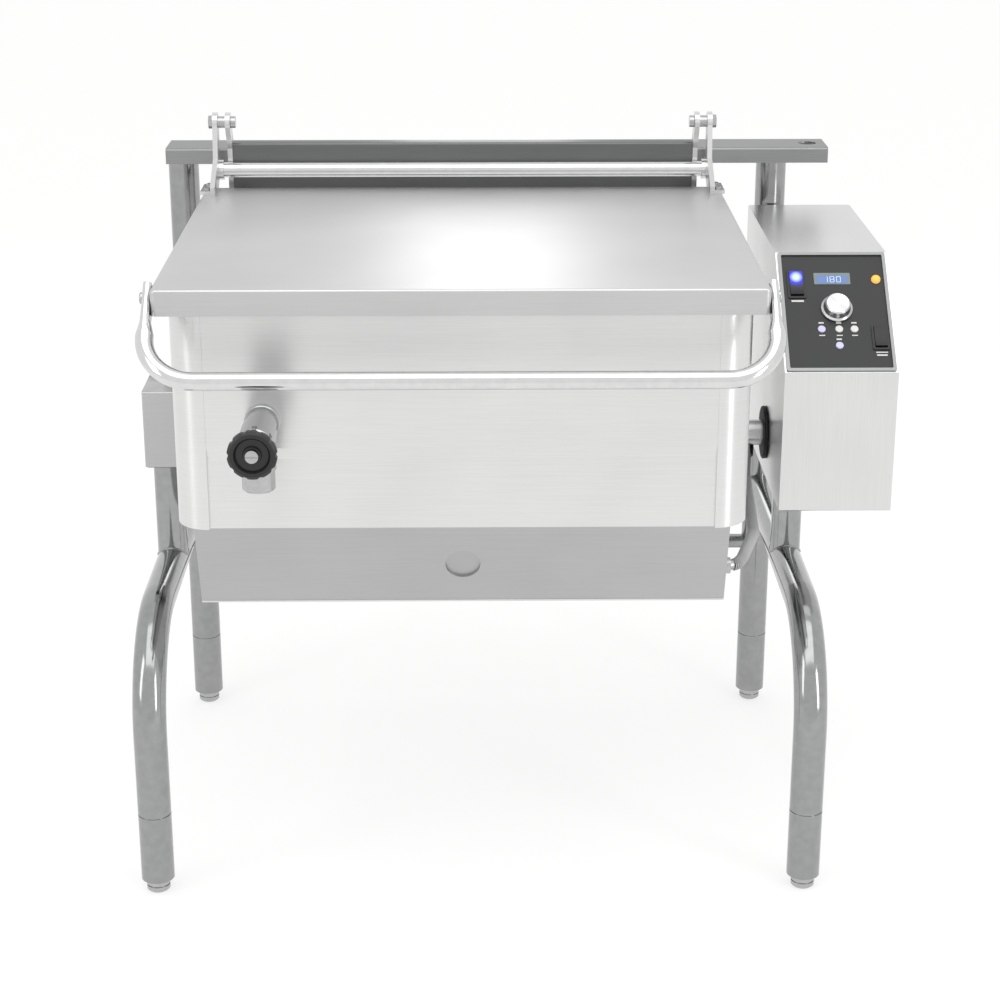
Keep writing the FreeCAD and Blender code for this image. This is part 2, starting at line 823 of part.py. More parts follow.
def trunnion(side):
    """Hollow shaft that carries the pan in its bearing."""
    start_x = side * half_jacket
    end_x = drive_shaft_end if side > 0 else -(left_frame_offset + bearing_block_width / 2 + 2)
    length = abs(end_x - start_x)
    start = Vector(start_x, 0, axis_height)
    shaft = rod(trunnion_radius, start, RIGHT * side, length)
    shaft = shaft.makeChamfer(1.5, [max(shaft.Edges, key=lambda edge: edge.CenterOfMass.x * side)])
    bored = shaft.cut(rod(trunnion_bore / 2, start, RIGHT * side, length + 1))
    if side > 0:
        wire_way = rod(trunnion_bore / 2 - running_gap, conduit_corners()[0], UP, trunnion_radius)
        bored = bored.cut(wire_way)
    return bored


def conduit_corners():
    """Route from the hollow right trunnion down to the side of the heater box."""
    start_x = (half_jacket + hub_length + console_inner_offset - seal_thickness) / 2
    side = heater_box_width / 2
    entry = Vector(side, -conduit_entry_reach, heater_box_bottom + conduit_entry_rise)
    start = Vector(start_x, 0, axis_height - trunnion_radius)
    return [
        start,
        start - UP * conduit_hang,
        Vector(start_x, -conduit_entry_reach / 2, entry.z),
        entry + RIGHT * conduit_entry_stub * 1.5 + BACK * conduit_entry_stub,
        entry + RIGHT * conduit_entry_stub,
        entry,
    ]


def conduit():
    """Flexible metal conduit, held at both ends, that turns with the pan."""
    return bent_rod(conduit_corners(), conduit_bend_radius, conduit_radius).cut(trunnion_envelope())


def trunnion_envelope():
    """Solid outside shape of the right trunnion, to seat the conduit on it."""
    return rod(trunnion_radius, Vector(half_jacket, 0, axis_height), RIGHT, drive_shaft_end - half_jacket)


def conduit_fittings():
    """Round gland nuts at the two ends of the conduit."""
    corners = conduit_corners()
    outer = conduit_radius + conduit_nut_wall
    upper_start = corners[0] - UP * conduit_nut_length
    upper = pipe(outer, conduit_radius, upper_start, UP, conduit_nut_length + outer).cut(trunnion_envelope())
    upper = max(upper.Solids, key=lambda solid: solid.Volume)
    lower = pipe(outer, conduit_radius, corners[-1], RIGHT, conduit_nut_length)
    return [upper, lower]


def shaft_seal():
    """Black rubber ring on the console's side, round the drive shaft."""
    start = Vector(console_inner_offset - seal_thickness, 0, axis_height)
    ring = rod(seal_diameter / 2, start, RIGHT, seal_thickness)
    ring = ring.makeFillet(seal_thickness * 0.4, [edge for edge in ring.Edges if len(edge.Vertexes) == 1])
    return ring.cut(rod(trunnion_radius + running_clearance, start - RIGHT, RIGHT, seal_thickness + 2))


def lid_cover():
    """Flat cover with a turned-down skirt on three sides; the back is open so that it clears the rim."""
    bottom = lid_skirt_bottom
    outer = rounded_block(half_lid, lid_front, lid_back, bottom, lid_top, lid_corner_radius)
    top_edges = [edge for edge in outer.Edges if edge.BoundBox.ZMin > lid_top - 1e-6]
    outer = outer.makeFillet(lid_edge_radius, top_edges)
    inner = rounded_block(half_lid - lid_sheet, lid_front - lid_sheet, lid_back - lid_sheet,
                          bottom - 1, lid_underside, lid_corner_radius - lid_sheet)
    rear_half = half_lid - lid_corner_radius
    rear_way = cuboid(-rear_half, rear_half, lid_back - lid_corner_radius, lid_back + 1, bottom - 1, lid_underside)
    cover = outer.cut(inner).cut(rear_way)
    for x, y in arm_bolt_places():
        cover = cover.cut(rod(arm_bolt_size / 2, Vector(x, y, lid_underside - lid_sheet), UP, 3 * lid_sheet))
    for side in (-1, 1):
        start = handle_end(side) - RIGHT * side * 2 * lid_sheet
        cover = cover.cut(rod(handle_bolt_diameter / 2, start, RIGHT * side, 3 * lid_sheet))
    return cover


def lid_stiffeners():
    """Two hat channels welded under the lid, inside the pan opening."""
    half = half_pan - 30
    channels = []
    for y in (-jacket_front * 0.45, jacket_back * 0.28):
        half_width = stiffener_width / 2
        low = lid_underside - stiffener_depth
        hat = cuboid(-half, half, y - half_width, y + half_width, low, lid_underside)
        hat = hat.makeFillet(3, edges_along(hat, RIGHT, lambda m: m.z < low + 1))
        hollow = cuboid(-half - 1, half + 1, y - half_width + stiffener_sheet, y + half_width - stiffener_sheet,
                        low + stiffener_sheet, lid_underside + 1)
        channels.append(hat.cut(hollow))
    return Part.makeCompound(channels)


def lid_pads():
    """Four rubber pads under the lid that rest just clear of the pan rim."""
    pads = []
    half = lid_pad_size / 2
    x = half_jacket - insulation_gap / 2
    for side in (-1, 1):
        for y in (-jacket_front + 60, jacket_back - 60):
            pad = rod(half, Vector(side * x, y, rim_height + lid_pad_clearance), UP,
                      lid_underside - rim_height - lid_pad_clearance)
            pads.append(pad)
    return Part.makeCompound(pads)


def handle_end(side):
    """Middle of the bolt through a flattened handle end, on the lid's side."""
    return Vector(side * half_lid, -handle_end_back, handle_end_height)


def handle_heading():
    """Way that the handle's two arms run, forward and down from the lid's sides."""
    slope = math.radians(handle_slope)
    return Vector(0, -math.cos(slope), -math.sin(slope))


def flat_section(centre, heading):
    """Slot-shaped wire square to the heading, thin across the lid's side."""
    across = heading.cross(RIGHT).normalize()
    half_thick = handle_flat_thickness / 2
    half_wide = handle_flat_width / 2 - half_thick
    near = centre - RIGHT * half_thick
    far = centre + RIGHT * half_thick
    edges = [
        Part.LineSegment(near - across * half_wide, near + across * half_wide).toShape(),
        Part.Arc(near + across * half_wide, centre + across * (half_wide + half_thick),
                 far + across * half_wide).toShape(),
        Part.LineSegment(far + across * half_wide, far - across * half_wide).toShape(),
        Part.Arc(far - across * half_wide, centre - across * (half_wide + half_thick),
                 near - across * half_wide).toShape(),
    ]
    return Part.Wire(edges)


def lid_handle():
    """Bent tube bar whose two ends are flattened and bolted to the lid's sides."""
    heading = handle_heading()
    round_from = handle_flat_length + handle_taper_length
    arm_length = round_from + handle_straight_length + handle_bend_radius
    starts = [Vector(side * half_handle, -handle_end_back, handle_end_height) for side in (-1, 1)]
    route = [starts[0] + heading * round_from, starts[0] + heading * arm_length,
             starts[1] + heading * arm_length, starts[1] + heading * round_from]
    pieces = [bent_rod(route, handle_bend_radius, handle_radius)]
    for start in starts:
        flat_from = start - heading * handle_flat_width / 2
        flat_to = start + heading * handle_flat_length
        flat = Part.Face(flat_section(flat_from, heading)).extrude(flat_to - flat_from)
        round_end = Part.Wire(Part.makeCircle(handle_radius, start + heading * round_from, heading))
        taper = Part.makeLoft([flat_section(flat_to, heading), round_end], True)
        pieces += [flat, taper]
    whole = pieces[0].fuse(pieces[1:])
    for start in starts:
        whole = whole.cut(rod(handle_bolt_diameter / 2, start - RIGHT * handle_flat_thickness, RIGHT,
                              2 * handle_flat_thickness))
    return whole


def handle_bolts():
    """Round-headed bolts through the handle ends, each with a nut inside the skirt."""
    bolts = []
    radius = handle_bolt_diameter / 2
    head_radius = handle_bolt_head_diameter / 2
    length = handle_flat_thickness + lid_sheet
    for side in (-1, 1):
        seat = handle_end(side) + RIGHT * side * handle_flat_thickness
        inward = RIGHT * -side
        shank = rod(radius, seat, inward, length)
        head = rod(head_radius, seat, inward * -1, handle_bolt_head_height)
        head = head.makeFillet(handle_bolt_head_height / 2, [max(head.Edges, key=lambda e: e.CenterOfMass.x * side)])
        nut = rod(head_radius, seat + inward * length, inward, handle_nut_height)
        bolts.append(fused([shank, head, nut]))
    return bolts


def arm_bolt_places():
    """Places of the bolts through each arm's foot, as (x, y)."""
    places = []
    x = arm_offset + hinge_plate / 2 + arm_bolt_size * 0.9
    for side in (-1, 1):
        for y in (lid_back - arm_foot_length + arm_bolt_inset, lid_back - arm_bolt_inset):
            places.append((side * x, y))
    return places


def eye_and_leg(leg_outline, x_low, x_high):
    """Plate with a round eye at the hinge axis, fused with the leg under it."""
    eye = rod(hinge_eye_radius, Vector(x_low, hinge_reach, hinge_height), RIGHT, x_high - x_low)
    return fused([eye, side_profile(leg_outline, x_low, x_high)])


def hinge_arm(side):
    """Lid arm: an upright plate with an eye at the top and a foot tab turned outward."""
    x_low, x_high = sorted((side * (arm_offset - hinge_plate / 2), side * (arm_offset + hinge_plate / 2)))
    foot_front = lid_back - arm_foot_length
    eye_side = hinge_eye_radius * 0.96
    rear_knee = lid_top + hinge_above_lid * 0.24
    front_knee = brace_tube_height + brace_tube_diameter * 0.87
    outline = [
        (foot_front, lid_top), (lid_back, lid_top), (hinge_reach + arm_foot_thickness, rear_knee),
        (hinge_reach + eye_side, hinge_height - hinge_eye_radius / 4),
        (hinge_reach - eye_side, hinge_height - hinge_eye_radius / 4),
        (hinge_reach - hinge_eye_radius * 1.46, front_knee), (foot_front, lid_top + 2 * arm_foot_thickness),
    ]
    arm = eye_and_leg(outline, x_low, x_high)
    tab_low, tab_high = sorted((side * arm_offset, side * (arm_offset + hinge_plate / 2 + arm_foot_width)))
    tab = cuboid(tab_low, tab_high, foot_front, lid_back, lid_top, lid_top + arm_foot_thickness)
    arm = arm.fuse(tab).removeSplitter()
    pin_way = rod(hinge_pin_diameter / 2, Vector(x_low, hinge_reach, hinge_height), RIGHT, hinge_plate)
    arm = arm.cut(pin_way)
    for x, y in arm_bolt_places():
        arm = arm.cut(rod(arm_bolt_size / 2, Vector(x, y, lid_top), UP, arm_foot_thickness))
    return arm


def arm_bolts():
    """Bolts through the arm feet and the lid, each with a nut under the lid."""
    bolts = []
    for x, y in arm_bolt_places():
        seat = Vector(x, y, lid_top + arm_foot_thickness)
        bolt = hex_bolt(arm_bolt_size, arm_foot_thickness + lid_sheet, seat, UP * -1)
        nut = rod(arm_bolt_size * 0.85, Vector(x, y, lid_underside), UP * -1, arm_bolt_size * 0.75)
        bolts.append(bolt.fuse(nut).removeSplitter())
    return bolts


def brace_tube():
    """Round tube between the two arms, with a collar at each end."""
    inner_face = arm_offset - hinge_plate / 2
    radius = brace_tube_diameter / 2
    start = Vector(-inner_face, brace_tube_reach, brace_tube_height)
    tube = pipe(radius, radius - brace_tube_wall, start, RIGHT, 2 * inner_face)
    collars = [pipe(radius + 4, radius, Vector(x, brace_tube_reach, brace_tube_height), RIGHT, 8)
               for x in (-inner_face, inner_face - 8)]
    return fused([tube] + collars)


def hinge_pins():
    """Headed pins fixed in the arms, turning in the brackets, with a spacer between the two."""
    pins = []
    inner_end = arm_offset - hinge_plate / 2 - arm_gap - hinge_plate - running_gap
    outer_end = arm_offset + hinge_plate / 2
    radius = hinge_pin_diameter / 2
    for side in (-1, 1):
        start = Vector(side * inner_end, hinge_reach, hinge_height)
        seat = Vector(side * outer_end, hinge_reach, hinge_height)
        shank = rod(radius, start, RIGHT * side, outer_end - inner_end)
        outer = hex_bolt(hinge_pin_diameter, hinge_plate / 2, seat, RIGHT * -side)
        inner = rod(radius * 1.6, start, RIGHT * -side, hinge_plate)
        spacer = rod(radius * 1.6, seat - RIGHT * side * hinge_plate, RIGHT * -side, arm_gap - running_gap)
        pins.append(fused([shank, outer, inner, spacer]))
    return Part.makeCompound(pins)


def bracket_middle():
    return arm_offset - arm_gap - hinge_plate


def hinge_bracket(side):
    """Pan bracket: a plate bolted to the jacket's back that rises behind the lid to the hinge eye."""
    x_middle = side * bracket_middle()
    x_low, x_high = x_middle - hinge_plate / 2, x_middle + hinge_plate / 2
    foot_top = rim_height - rim_turn_down - bracket_foot_drop
    foot_bottom = foot_top - bracket_foot_height
    neck = foot_top + (hinge_height - foot_top) * 0.7
    shoulder = foot_top + (hinge_height - foot_top) * 0.14
    eye_side = hinge_eye_radius * 0.9
    eye_slant = hinge_eye_radius * 0.38
    outline = [
        (jacket_back, foot_bottom), (bracket_back - bracket_foot_bevel, foot_bottom),
        (bracket_back, foot_bottom + bracket_foot_bevel), (bracket_back, neck),
        (hinge_reach + eye_side, hinge_height + eye_slant), (hinge_reach - eye_side, hinge_height - eye_slant),
        (bracket_front, neck), (bracket_front, shoulder), (jacket_back, foot_top),
    ]
    plate = eye_and_leg(outline, x_low, x_high)
    bore = rod(hinge_pin_diameter / 2 + running_clearance, Vector(x_low, hinge_reach, hinge_height),
               RIGHT, hinge_plate)
    tab_low, tab_high = sorted((x_middle, x_middle - side * bracket_tab_width))
    tab_back = jacket_back + bracket_tab_thickness
    tab = cuboid(tab_low, tab_high, jacket_back, tab_back, foot_bottom, foot_top)
    screw_x = x_middle - side * bracket_tab_width * 0.6
    screws = [hex_bolt(flange_bolt_size, bracket_tab_thickness / 2, Vector(screw_x, tab_back, z), BACK * -1)
              for z in (foot_bottom + bracket_tab_width / 2, foot_top - bracket_tab_width / 2)]
    return fused([plate.fuse(tab).cut(bore)] + screws)


def hinge_channel():
    """Folded cross member between the two brackets."""
    half = bracket_middle() - hinge_plate / 2
    front = bracket_front + channel_setback
    low = channel_top - channel_height
    outer = cuboid(-half, half, front, bracket_back, low, channel_top)
    outer = outer.makeFillet(4, edges_along(outer, RIGHT, lambda m: m.y < front + 1))
    inner = cuboid(-half - 1, half + 1, front + channel_sheet, bracket_back + 1,
                   low + channel_sheet, channel_top - channel_sheet)
    return outer.cut(inner)


def panel_face():
    """Front face of the recessed panel above its fold."""
    return -jacket_front + panel_recess


def valve_seat_place():
    return panel_face() - valve_seat_from_panel


def valve_axis_point(y):
    return Vector(-valve_offset, y, valve_height)


def valve_outlet_middle():
    return valve_seat_place() - valve_outlet_back


def valve_body():
    """Cast body: inlet stub through the jacket, seat, chamber and a downward outlet."""
    chamber_end = valve_seat_place() - valve_chamber_length
    outlet_start = Vector(-valve_offset, valve_outlet_middle(), valve_height)
    spigot = rod(valve_outlet_diameter / 2, outlet_start, UP * -1, valve_outlet_drop)
    spigot = spigot.makeChamfer(valve_spigot_bevel, [min(spigot.Edges, key=lambda edge: edge.CenterOfMass.z)])
    shoulder = rod(valve_chamber_radius, outlet_start, UP * -1, valve_outlet_drop - valve_spigot_length)
    body_end = -pan_front
    body = rod(valve_body_diameter / 2, valve_axis_point(chamber_end), BACK, body_end - chamber_end)
    chamber = rod(valve_chamber_radius, valve_axis_point(chamber_end), BACK, valve_chamber_length + 2 * valve_shoulder)
    chamber = chamber.makeChamfer(valve_shoulder, [max(chamber.Edges, key=lambda edge: edge.CenterOfMass.y)])
    solid = fused([body, chamber, spigot, shoulder])
    inlet_way = rod(valve_inlet_bore / 2, valve_axis_point(chamber_end), BACK, body_end - chamber_end)
    chamber_way = rod(valve_chamber_bore / 2, valve_axis_point(chamber_end), BACK, valve_chamber_length)
    outlet_way = rod(valve_outlet_diameter / 2 - valve_outlet_wall, outlet_start, UP * -1, valve_outlet_drop)
    return solid.cut(inlet_way).cut(chamber_way).cut(outlet_way)


def valve_collar():
    """Union nut against the jacket's front panel, with flats."""
    collar = pipe(valve_collar_diameter / 2, valve_body_diameter / 2,
                  valve_axis_point(panel_face() - valve_collar_length), BACK, valve_collar_length)
    return collar.makeChamfer(1.0, [
        edge for edge in collar.Edges if len(edge.Vertexes) == 1 and edge.Length > 3.1 * valve_collar_diameter])


def valve_bonnet():
    """Cap that closes the chamber and guides the stem."""
    seat = valve_seat_place() - valve_chamber_length
    cap = rod(valve_bonnet_diameter / 2, valve_axis_point(seat - valve_bonnet_length), BACK, valve_bonnet_length)
    cap = cap.makeChamfer(2.5, [min(cap.Edges, key=lambda edge: edge.CenterOfMass.y)])
    for number in range(6):
        angle = math.radians(60 * number + 30)
        out = Vector(math.cos(angle), 0, math.sin(angle))
        notch = rod(4, valve_axis_point(seat - valve_bonnet_length - 1) + out * (valve_bonnet_diameter / 2 + 2),
                    BACK, valve_bonnet_length + 2)
        cap = cap.cut(notch)
    return cap.cut(rod(valve_stem_diameter / 2 + running_clearance,
                       valve_axis_point(seat - valve_bonnet_length - 1), BACK, valve_bonnet_length + 2))


def handwheel_back():
    """Back face of the handwheel when the valve is shut."""
    return valve_seat_place() - valve_chamber_length - valve_bonnet_length - handwheel_gap


def valve_stem():
    """Stem that slides the disc; the handwheel turns on its front journal."""
    disc_face = valve_seat_place() - 0.3 - valve_disc_thickness
    front = handwheel_back()
    stem = rod(valve_stem_diameter / 2, valve_axis_point(front), BACK, disc_face - front + 2)
    journal = rod(valve_stem_diameter / 2 - 2, valve_axis_point(front - handwheel_thickness - 2), BACK,
                  handwheel_thickness + 3)
    washer = rod(valve_stem_diameter / 2 + 3, valve_axis_point(front - handwheel_thickness - 4), BACK, 3)
    slot = cuboid(-valve_offset - 12, -valve_offset + 12, front - handwheel_thickness - 5,
                  front - handwheel_thickness - 2.5, valve_height - 1.2, valve_height + 1.2)
    return fused([stem, journal, washer]).cut(slot)


def valve_disc():
    """Disc that shuts against the seat."""
    disc = rod(valve_disc_diameter / 2, valve_axis_point(valve_seat_place() - 0.3 - valve_disc_thickness),
               BACK, valve_disc_thickness)
    disc = disc.makeChamfer(1.5, [min(disc.Edges, key=lambda edge: edge.CenterOfMass.y)])
    return disc.cut(rod(valve_stem_diameter / 2, valve_axis_point(valve_seat_place() - 40), BACK, 40
                        - 0.3 - valve_disc_thickness + 2))


def handwheel():
    """Moulded round wheel with a scalloped rim, a dished face and a raised hub."""
    back = handwheel_back() - 0.2
    radius = handwheel_diameter / 2
    thick = handwheel_thickness - 0.4
    outline = [
        (0, 0), (radius - 4, 0), (radius, 4), (radius, thick - 3), (radius - 4, thick),
        (radius - 9, thick), (radius - 12, thick - 5), (13, thick - 5), (12, thick - 1.5), (0, thick - 1.5),
    ]
    corners = [Vector(-valve_offset + r, back - depth, valve_height) for r, depth in outline]
    wheel = Part.Face(Part.makePolygon(corners + corners[:1])).revolve(valve_axis_point(back), BACK, 360)
    for number in range(handwheel_scallops):
        angle = 2 * math.pi * number / handwheel_scallops
        out = Vector(math.cos(angle), 0, math.sin(angle))
        wheel = wheel.cut(rod(5, valve_axis_point(back - thick - 1) + out * (radius + 3), BACK, thick + 2))
    return wheel.cut(rod(valve_stem_diameter / 2 - 2 + running_clearance, valve_axis_point(back - thick - 1),
                         BACK, thick + 2))


def console_outline(inset):
    front = -console_front + inset
    back = console_back
    slope = math.radians(console_slope)
    drop = inset / math.cos(slope)
    lean = inset * math.tan(slope)
    nose = console_nose_height - drop + lean
    top = console_top - inset
    top_front = -console_front + console_slope_run + (drop - inset) / math.tan(slope)
    return [(front, console_bottom + inset), (front, nose), (top_front, top), (back, top),
            (back, console_bottom + inset)]


def console_shell():
    """Folded sheet housing, open at the back and where the control panel sits."""
    x_low = console_inner_offset
    x_high = x_low + console_width
    outer = side_profile(console_outline(0), x_low, x_high)
    outer = outer.makeFillet(console_edge_radius, edges_along(outer, RIGHT, lambda m: m.y < console_back - 1))
    inner_outline = console_outline(console_sheet)
    inner = side_profile(inner_outline, x_low + console_sheet, x_high - console_sheet)
    shell = outer.cut(inner)
    window = cuboid(panel_side_margin, console_width - panel_side_margin, panel_end_margin,
                    panel_length - panel_end_margin, -console_sheet - 5, 5)
    shell = shell.cut(on_panel(window))
    shaft_way = rod(trunnion_radius + 2, Vector(x_low - 1, 0, axis_height), RIGHT, 5)
    supply = rod(gland_diameter / 2, gland_point(0), UP, console_sheet)
    return shell.cut(shaft_way).cut(supply)


def gland_point(height):
    """Point on the supply gland's axis, measured up from the console's underside."""
    x = console_inner_offset + console_width - gland_from_side
    return Vector(x, console_back - gland_from_back, console_bottom + height)


def supply_gland():
    """Gland for the supply lead in the console's floor, with a round nut inside."""
    radius = gland_diameter / 2
    nut_top = 2 * console_sheet + gland_flange
    body = rod(radius, gland_point(-gland_below), UP, gland_below + nut_top + gland_flange)
    flange = rod(radius + gland_flange, gland_point(-2 * gland_flange), UP, 2 * gland_flange)
    nut = rod(radius + gland_flange, gland_point(console_sheet), UP, nut_top - console_sheet)
    way = rod(radius - gland_wall, gland_point(-gland_below), UP, gland_below + nut_top + gland_flange)
    return fused([body, flange, nut]).cut(way)


def console_rear_cover():
    """Flat cover on the console's open back, with vent slots and four screws."""
    x_low = console_inner_offset
    x_high = x_low + console_width
    plate = cuboid(x_low, x_high, console_back, console_back + console_sheet, console_bottom, console_top)
    plate = plate.makeFillet(4, edges_along(plate, BACK))
    for number in range(rear_cover_vents):
        z = (console_bottom + console_top) / 2 + 12 * (number - (rear_cover_vents - 1) / 2)
        slot = cuboid(x_low + 45, x_high - 45, console_back - 1, console_back + 5, z - 2.5, z + 2.5)
        plate = plate.cut(slot.makeFillet(2.4, edges_along(slot, BACK)))
    screws = []
    for x in (x_low + 10, x_high - 10):
        for z in (console_bottom + 12, console_top - 12):
            screws.append(rod(4.5, Vector(x, console_back + console_sheet, z), BACK, 2.5))
    return fused([plate] + screws)


def on_panel(shape):
    """Places a shape made flat, with x across and y up the panel, on the sloping face."""
    place = FreeCAD.Placement(Vector(console_inner_offset, -console_front, console_nose_height),
                              FreeCAD.Rotation(RIGHT, console_slope))
    moved = shape.copy()
    moved.Placement = place.multiply(shape.Placement)
    return moved


def rounded_tile(x, y, width, height, low, high, radius):
    tile = cuboid(x - width / 2, x + width / 2, y - height / 2, y + height / 2, low, high)
    return tile.makeFillet(radius, edges_along(tile, UP))


def control_panel():
    """Dark plate set into the console's sloping window, cut out for each control."""
    low = -console_sheet
    plate = cuboid(panel_side_margin, console_width - panel_side_margin, panel_end_margin,
                   panel_length - panel_end_margin, low, low + panel_thickness)
    for x, y, width, height in (power_rocker, tilt_rocker):
        plate = plate.cut(rounded_tile(x, y, width + switch_flange, height + switch_flange, low - 1, 5, 2))
    x, y, width, height = display_window
    plate = plate.cut(rounded_tile(x, y, width, height, low - 1, 5, 1.5))
    for x, y in button_places:
        plate = plate.cut(rod(button_diameter / 2 + control_gap, Vector(x, y, low - 1), UP, 6))
    x, y = thermostat_place
    plate = plate.cut(rod(knob_shaft_diameter / 2 + running_clearance, Vector(x, y, low - 1), UP, 6))
    x, y = signal_lamp
    plate = plate.cut(rod(signal_lamp_diameter / 2 - 2, Vector(x, y, low - 1), UP, 6))
    return on_panel(plate)


def panel_bezel():
    """Raised steel frame round the panel window."""
    outer = cuboid(panel_side_margin - bezel_width, console_width - panel_side_margin + bezel_width,
                   panel_end_margin - bezel_width, panel_length - panel_end_margin + bezel_width,
                   0, bezel_height)
    outer = outer.makeFillet(3, edges_along(outer, UP))
    inner = cuboid(panel_side_margin, console_width - panel_side_margin, panel_end_margin,
                   panel_length - panel_end_margin, -1, bezel_height + 1)
    return on_panel(outer.cut(inner.makeFillet(2, edges_along(inner, UP))))


def display():
    x, y, width, height = display_window
    glass = rounded_tile(x, y, width, height, -console_sheet, 0.8, 1.5)
    back = rounded_tile(x, y, width + 8, height + 8, -console_sheet - display_body_depth, -console_sheet, 1.5)
    return on_panel(glass.fuse(back).removeSplitter())


def lamp():
    """Domed amber signal lamp with a threaded tail behind the panel."""
    x, y = signal_lamp
    radius = signal_lamp_diameter / 2
    tail = rod(radius - 2, Vector(x, y, -lamp_tail), UP, lamp_tail)
    dome = rod(radius, Vector(x, y, 0), UP, 5)
    dome = dome.makeFillet(3, [max(dome.Edges, key=lambda edge: edge.CenterOfMass.z)])
    return on_panel(tail.fuse(dome).removeSplitter())


def rocker_pivot(rocker, radius, stub):
    """Pin across a rocker, standing out by the stub on both sides."""
    x, y, width, height = rocker
    length = width - 2 * control_gap + 2 * stub
    return rod(radius, Vector(x - length / 2, y, -rocker_pivot_drop), RIGHT, length)


def rocker_frame(rocker):
    """Switch body behind the panel with a thin frame on its face and two pivot holes."""
    x, y, width, height = rocker
    body = rounded_tile(x, y, width + switch_flange, height + switch_flange, -switch_body_depth, 0, 2)
    face = rounded_tile(x, y, width + 2 * switch_flange, height + 2 * switch_flange, 0, 2, 3)
    well = rounded_tile(x, y, width, height, -switch_well_depth, rocker_height, 1.5)
    holes = rocker_pivot(rocker, rocker_pivot_diameter / 2 + running_clearance, rocker_pivot_stub + control_gap)
    return on_panel(body.fuse(face).removeSplitter().cut(well).cut(holes))


def rocker_cap(rocker):
    """Rocking cap with a shallow hollow across its face and a pivot pin through it."""
    x, y, width, height = rocker
    cap_width = width - 2 * control_gap
    half = height / 2 - 5 * control_gap
    edge_rise = rocker_height - 1.0
    hollow_rise = rocker_height - 2.6
    start = Vector(x - cap_width / 2, y - half, edge_rise)
    middle = Vector(x - cap_width / 2, y, hollow_rise)
    end = Vector(x - cap_width / 2, y + half, edge_rise)
    low_end = Vector(end.x, end.y, -rocker_depth)
    low_start = Vector(start.x, start.y, -rocker_depth)
    sides = [Part.LineSegment(a, b).toShape() for a, b in ((end, low_end), (low_end, low_start), (low_start, start))]
    outline = Part.Wire([Part.Arc(start, middle, end).toShape()] + sides)
    cap = Part.Face(outline).extrude(RIGHT * cap_width)
    return on_panel(cap.fuse(rocker_pivot(rocker, rocker_pivot_diameter / 2, rocker_pivot_stub)).removeSplitter())


def thermostat_knob():
    """Spun aluminium knob with a stepped edge and a pointer groove, on a thermostat shaft."""
    x, y = thermostat_place
    radius = knob_diameter / 2
    outline = [(0, 1.0), (radius, 1.0), (radius, 4.0), (radius - 3, 6.0), (radius - 5, knob_height - 2),
               (radius - 7, knob_height), (0, knob_height)]
    corners = [Vector(x + r, y, z) for r, z in outline]
    knob = Part.Face(Part.makePolygon(corners + corners[:1])).revolve(Vector(x, y, 0), UP, 360)
    groove = cuboid(x - 0.8, x + 0.8, y + 4, y + radius - 6, knob_height - 1, knob_height + 1)
    shaft_length = thermostat_length / 2 - console_sheet
    shaft = rod(knob_shaft_diameter / 2, Vector(x, y, -shaft_length), UP, shaft_length + 2)
    return on_panel(knob.cut(groove).fuse(shaft).removeSplitter())


def thermostat_body():
    """Round control behind the panel that the knob's shaft turns in."""
    x, y = thermostat_place
    low = -console_sheet - thermostat_length
    body = rod(thermostat_diameter / 2, Vector(x, y, low), UP, thermostat_length)
    shaft_way = rod(knob_shaft_diameter / 2 + running_clearance, Vector(x, y, low / 2), UP, -low / 2)
    return on_panel(body.cut(shaft_way))


def push_button(place):
    """Round button with a domed edge and a plunger behind the panel."""
    x, y = place
    radius = button_diameter / 2
    cap = rod(radius, Vector(x, y, -console_sheet), UP, button_height)
    cap = cap.makeFillet(1.2, [max(cap.Edges, key=lambda edge: edge.CenterOfMass.z)])
    plunger = button_plunger_length + button_plunger_diameter / 2 - console_sheet
    stem = rod(button_plunger_diameter / 2, Vector(x, y, -console_sheet - plunger), UP, plunger)
    return on_panel(cap.fuse(stem).removeSplitter())


def control_board():
    """Circuit board behind the buttons, with a switch under each one."""
    margin = button_diameter
    low = -board_drop
    across = [x for x, y in button_places]
    upward = [y for x, y in button_places]
    plate = cuboid(min(across) - margin, max(across) + margin, min(upward) - margin, max(upward) + margin,
                   low, low + board_thickness)
    switches = []
    case_height = board_drop - board_thickness - button_plunger_length
    for x, y in button_places:
        case = rod(button_diameter / 2, Vector(x, y, low + board_thickness), UP, case_height)
        way = rod(button_plunger_diameter / 2 + 2 * running_clearance, Vector(x, y, low + case_height / 3), UP,
                  case_height)
        switches.append(case.cut(way))
    return on_panel(fused([plate] + switches))


def gearbox_span():
    """Left and right faces of the gearbox on the drive shaft."""
    return console_inner_offset + gearbox_inset, drive_shaft_end - shaft_end_stub


def worm_place(y):
    """Point on the worm's axis, above the drive shaft."""
    low, high = gearbox_span()
    return Vector((low + high) / 2, y, axis_height + worm_rise)


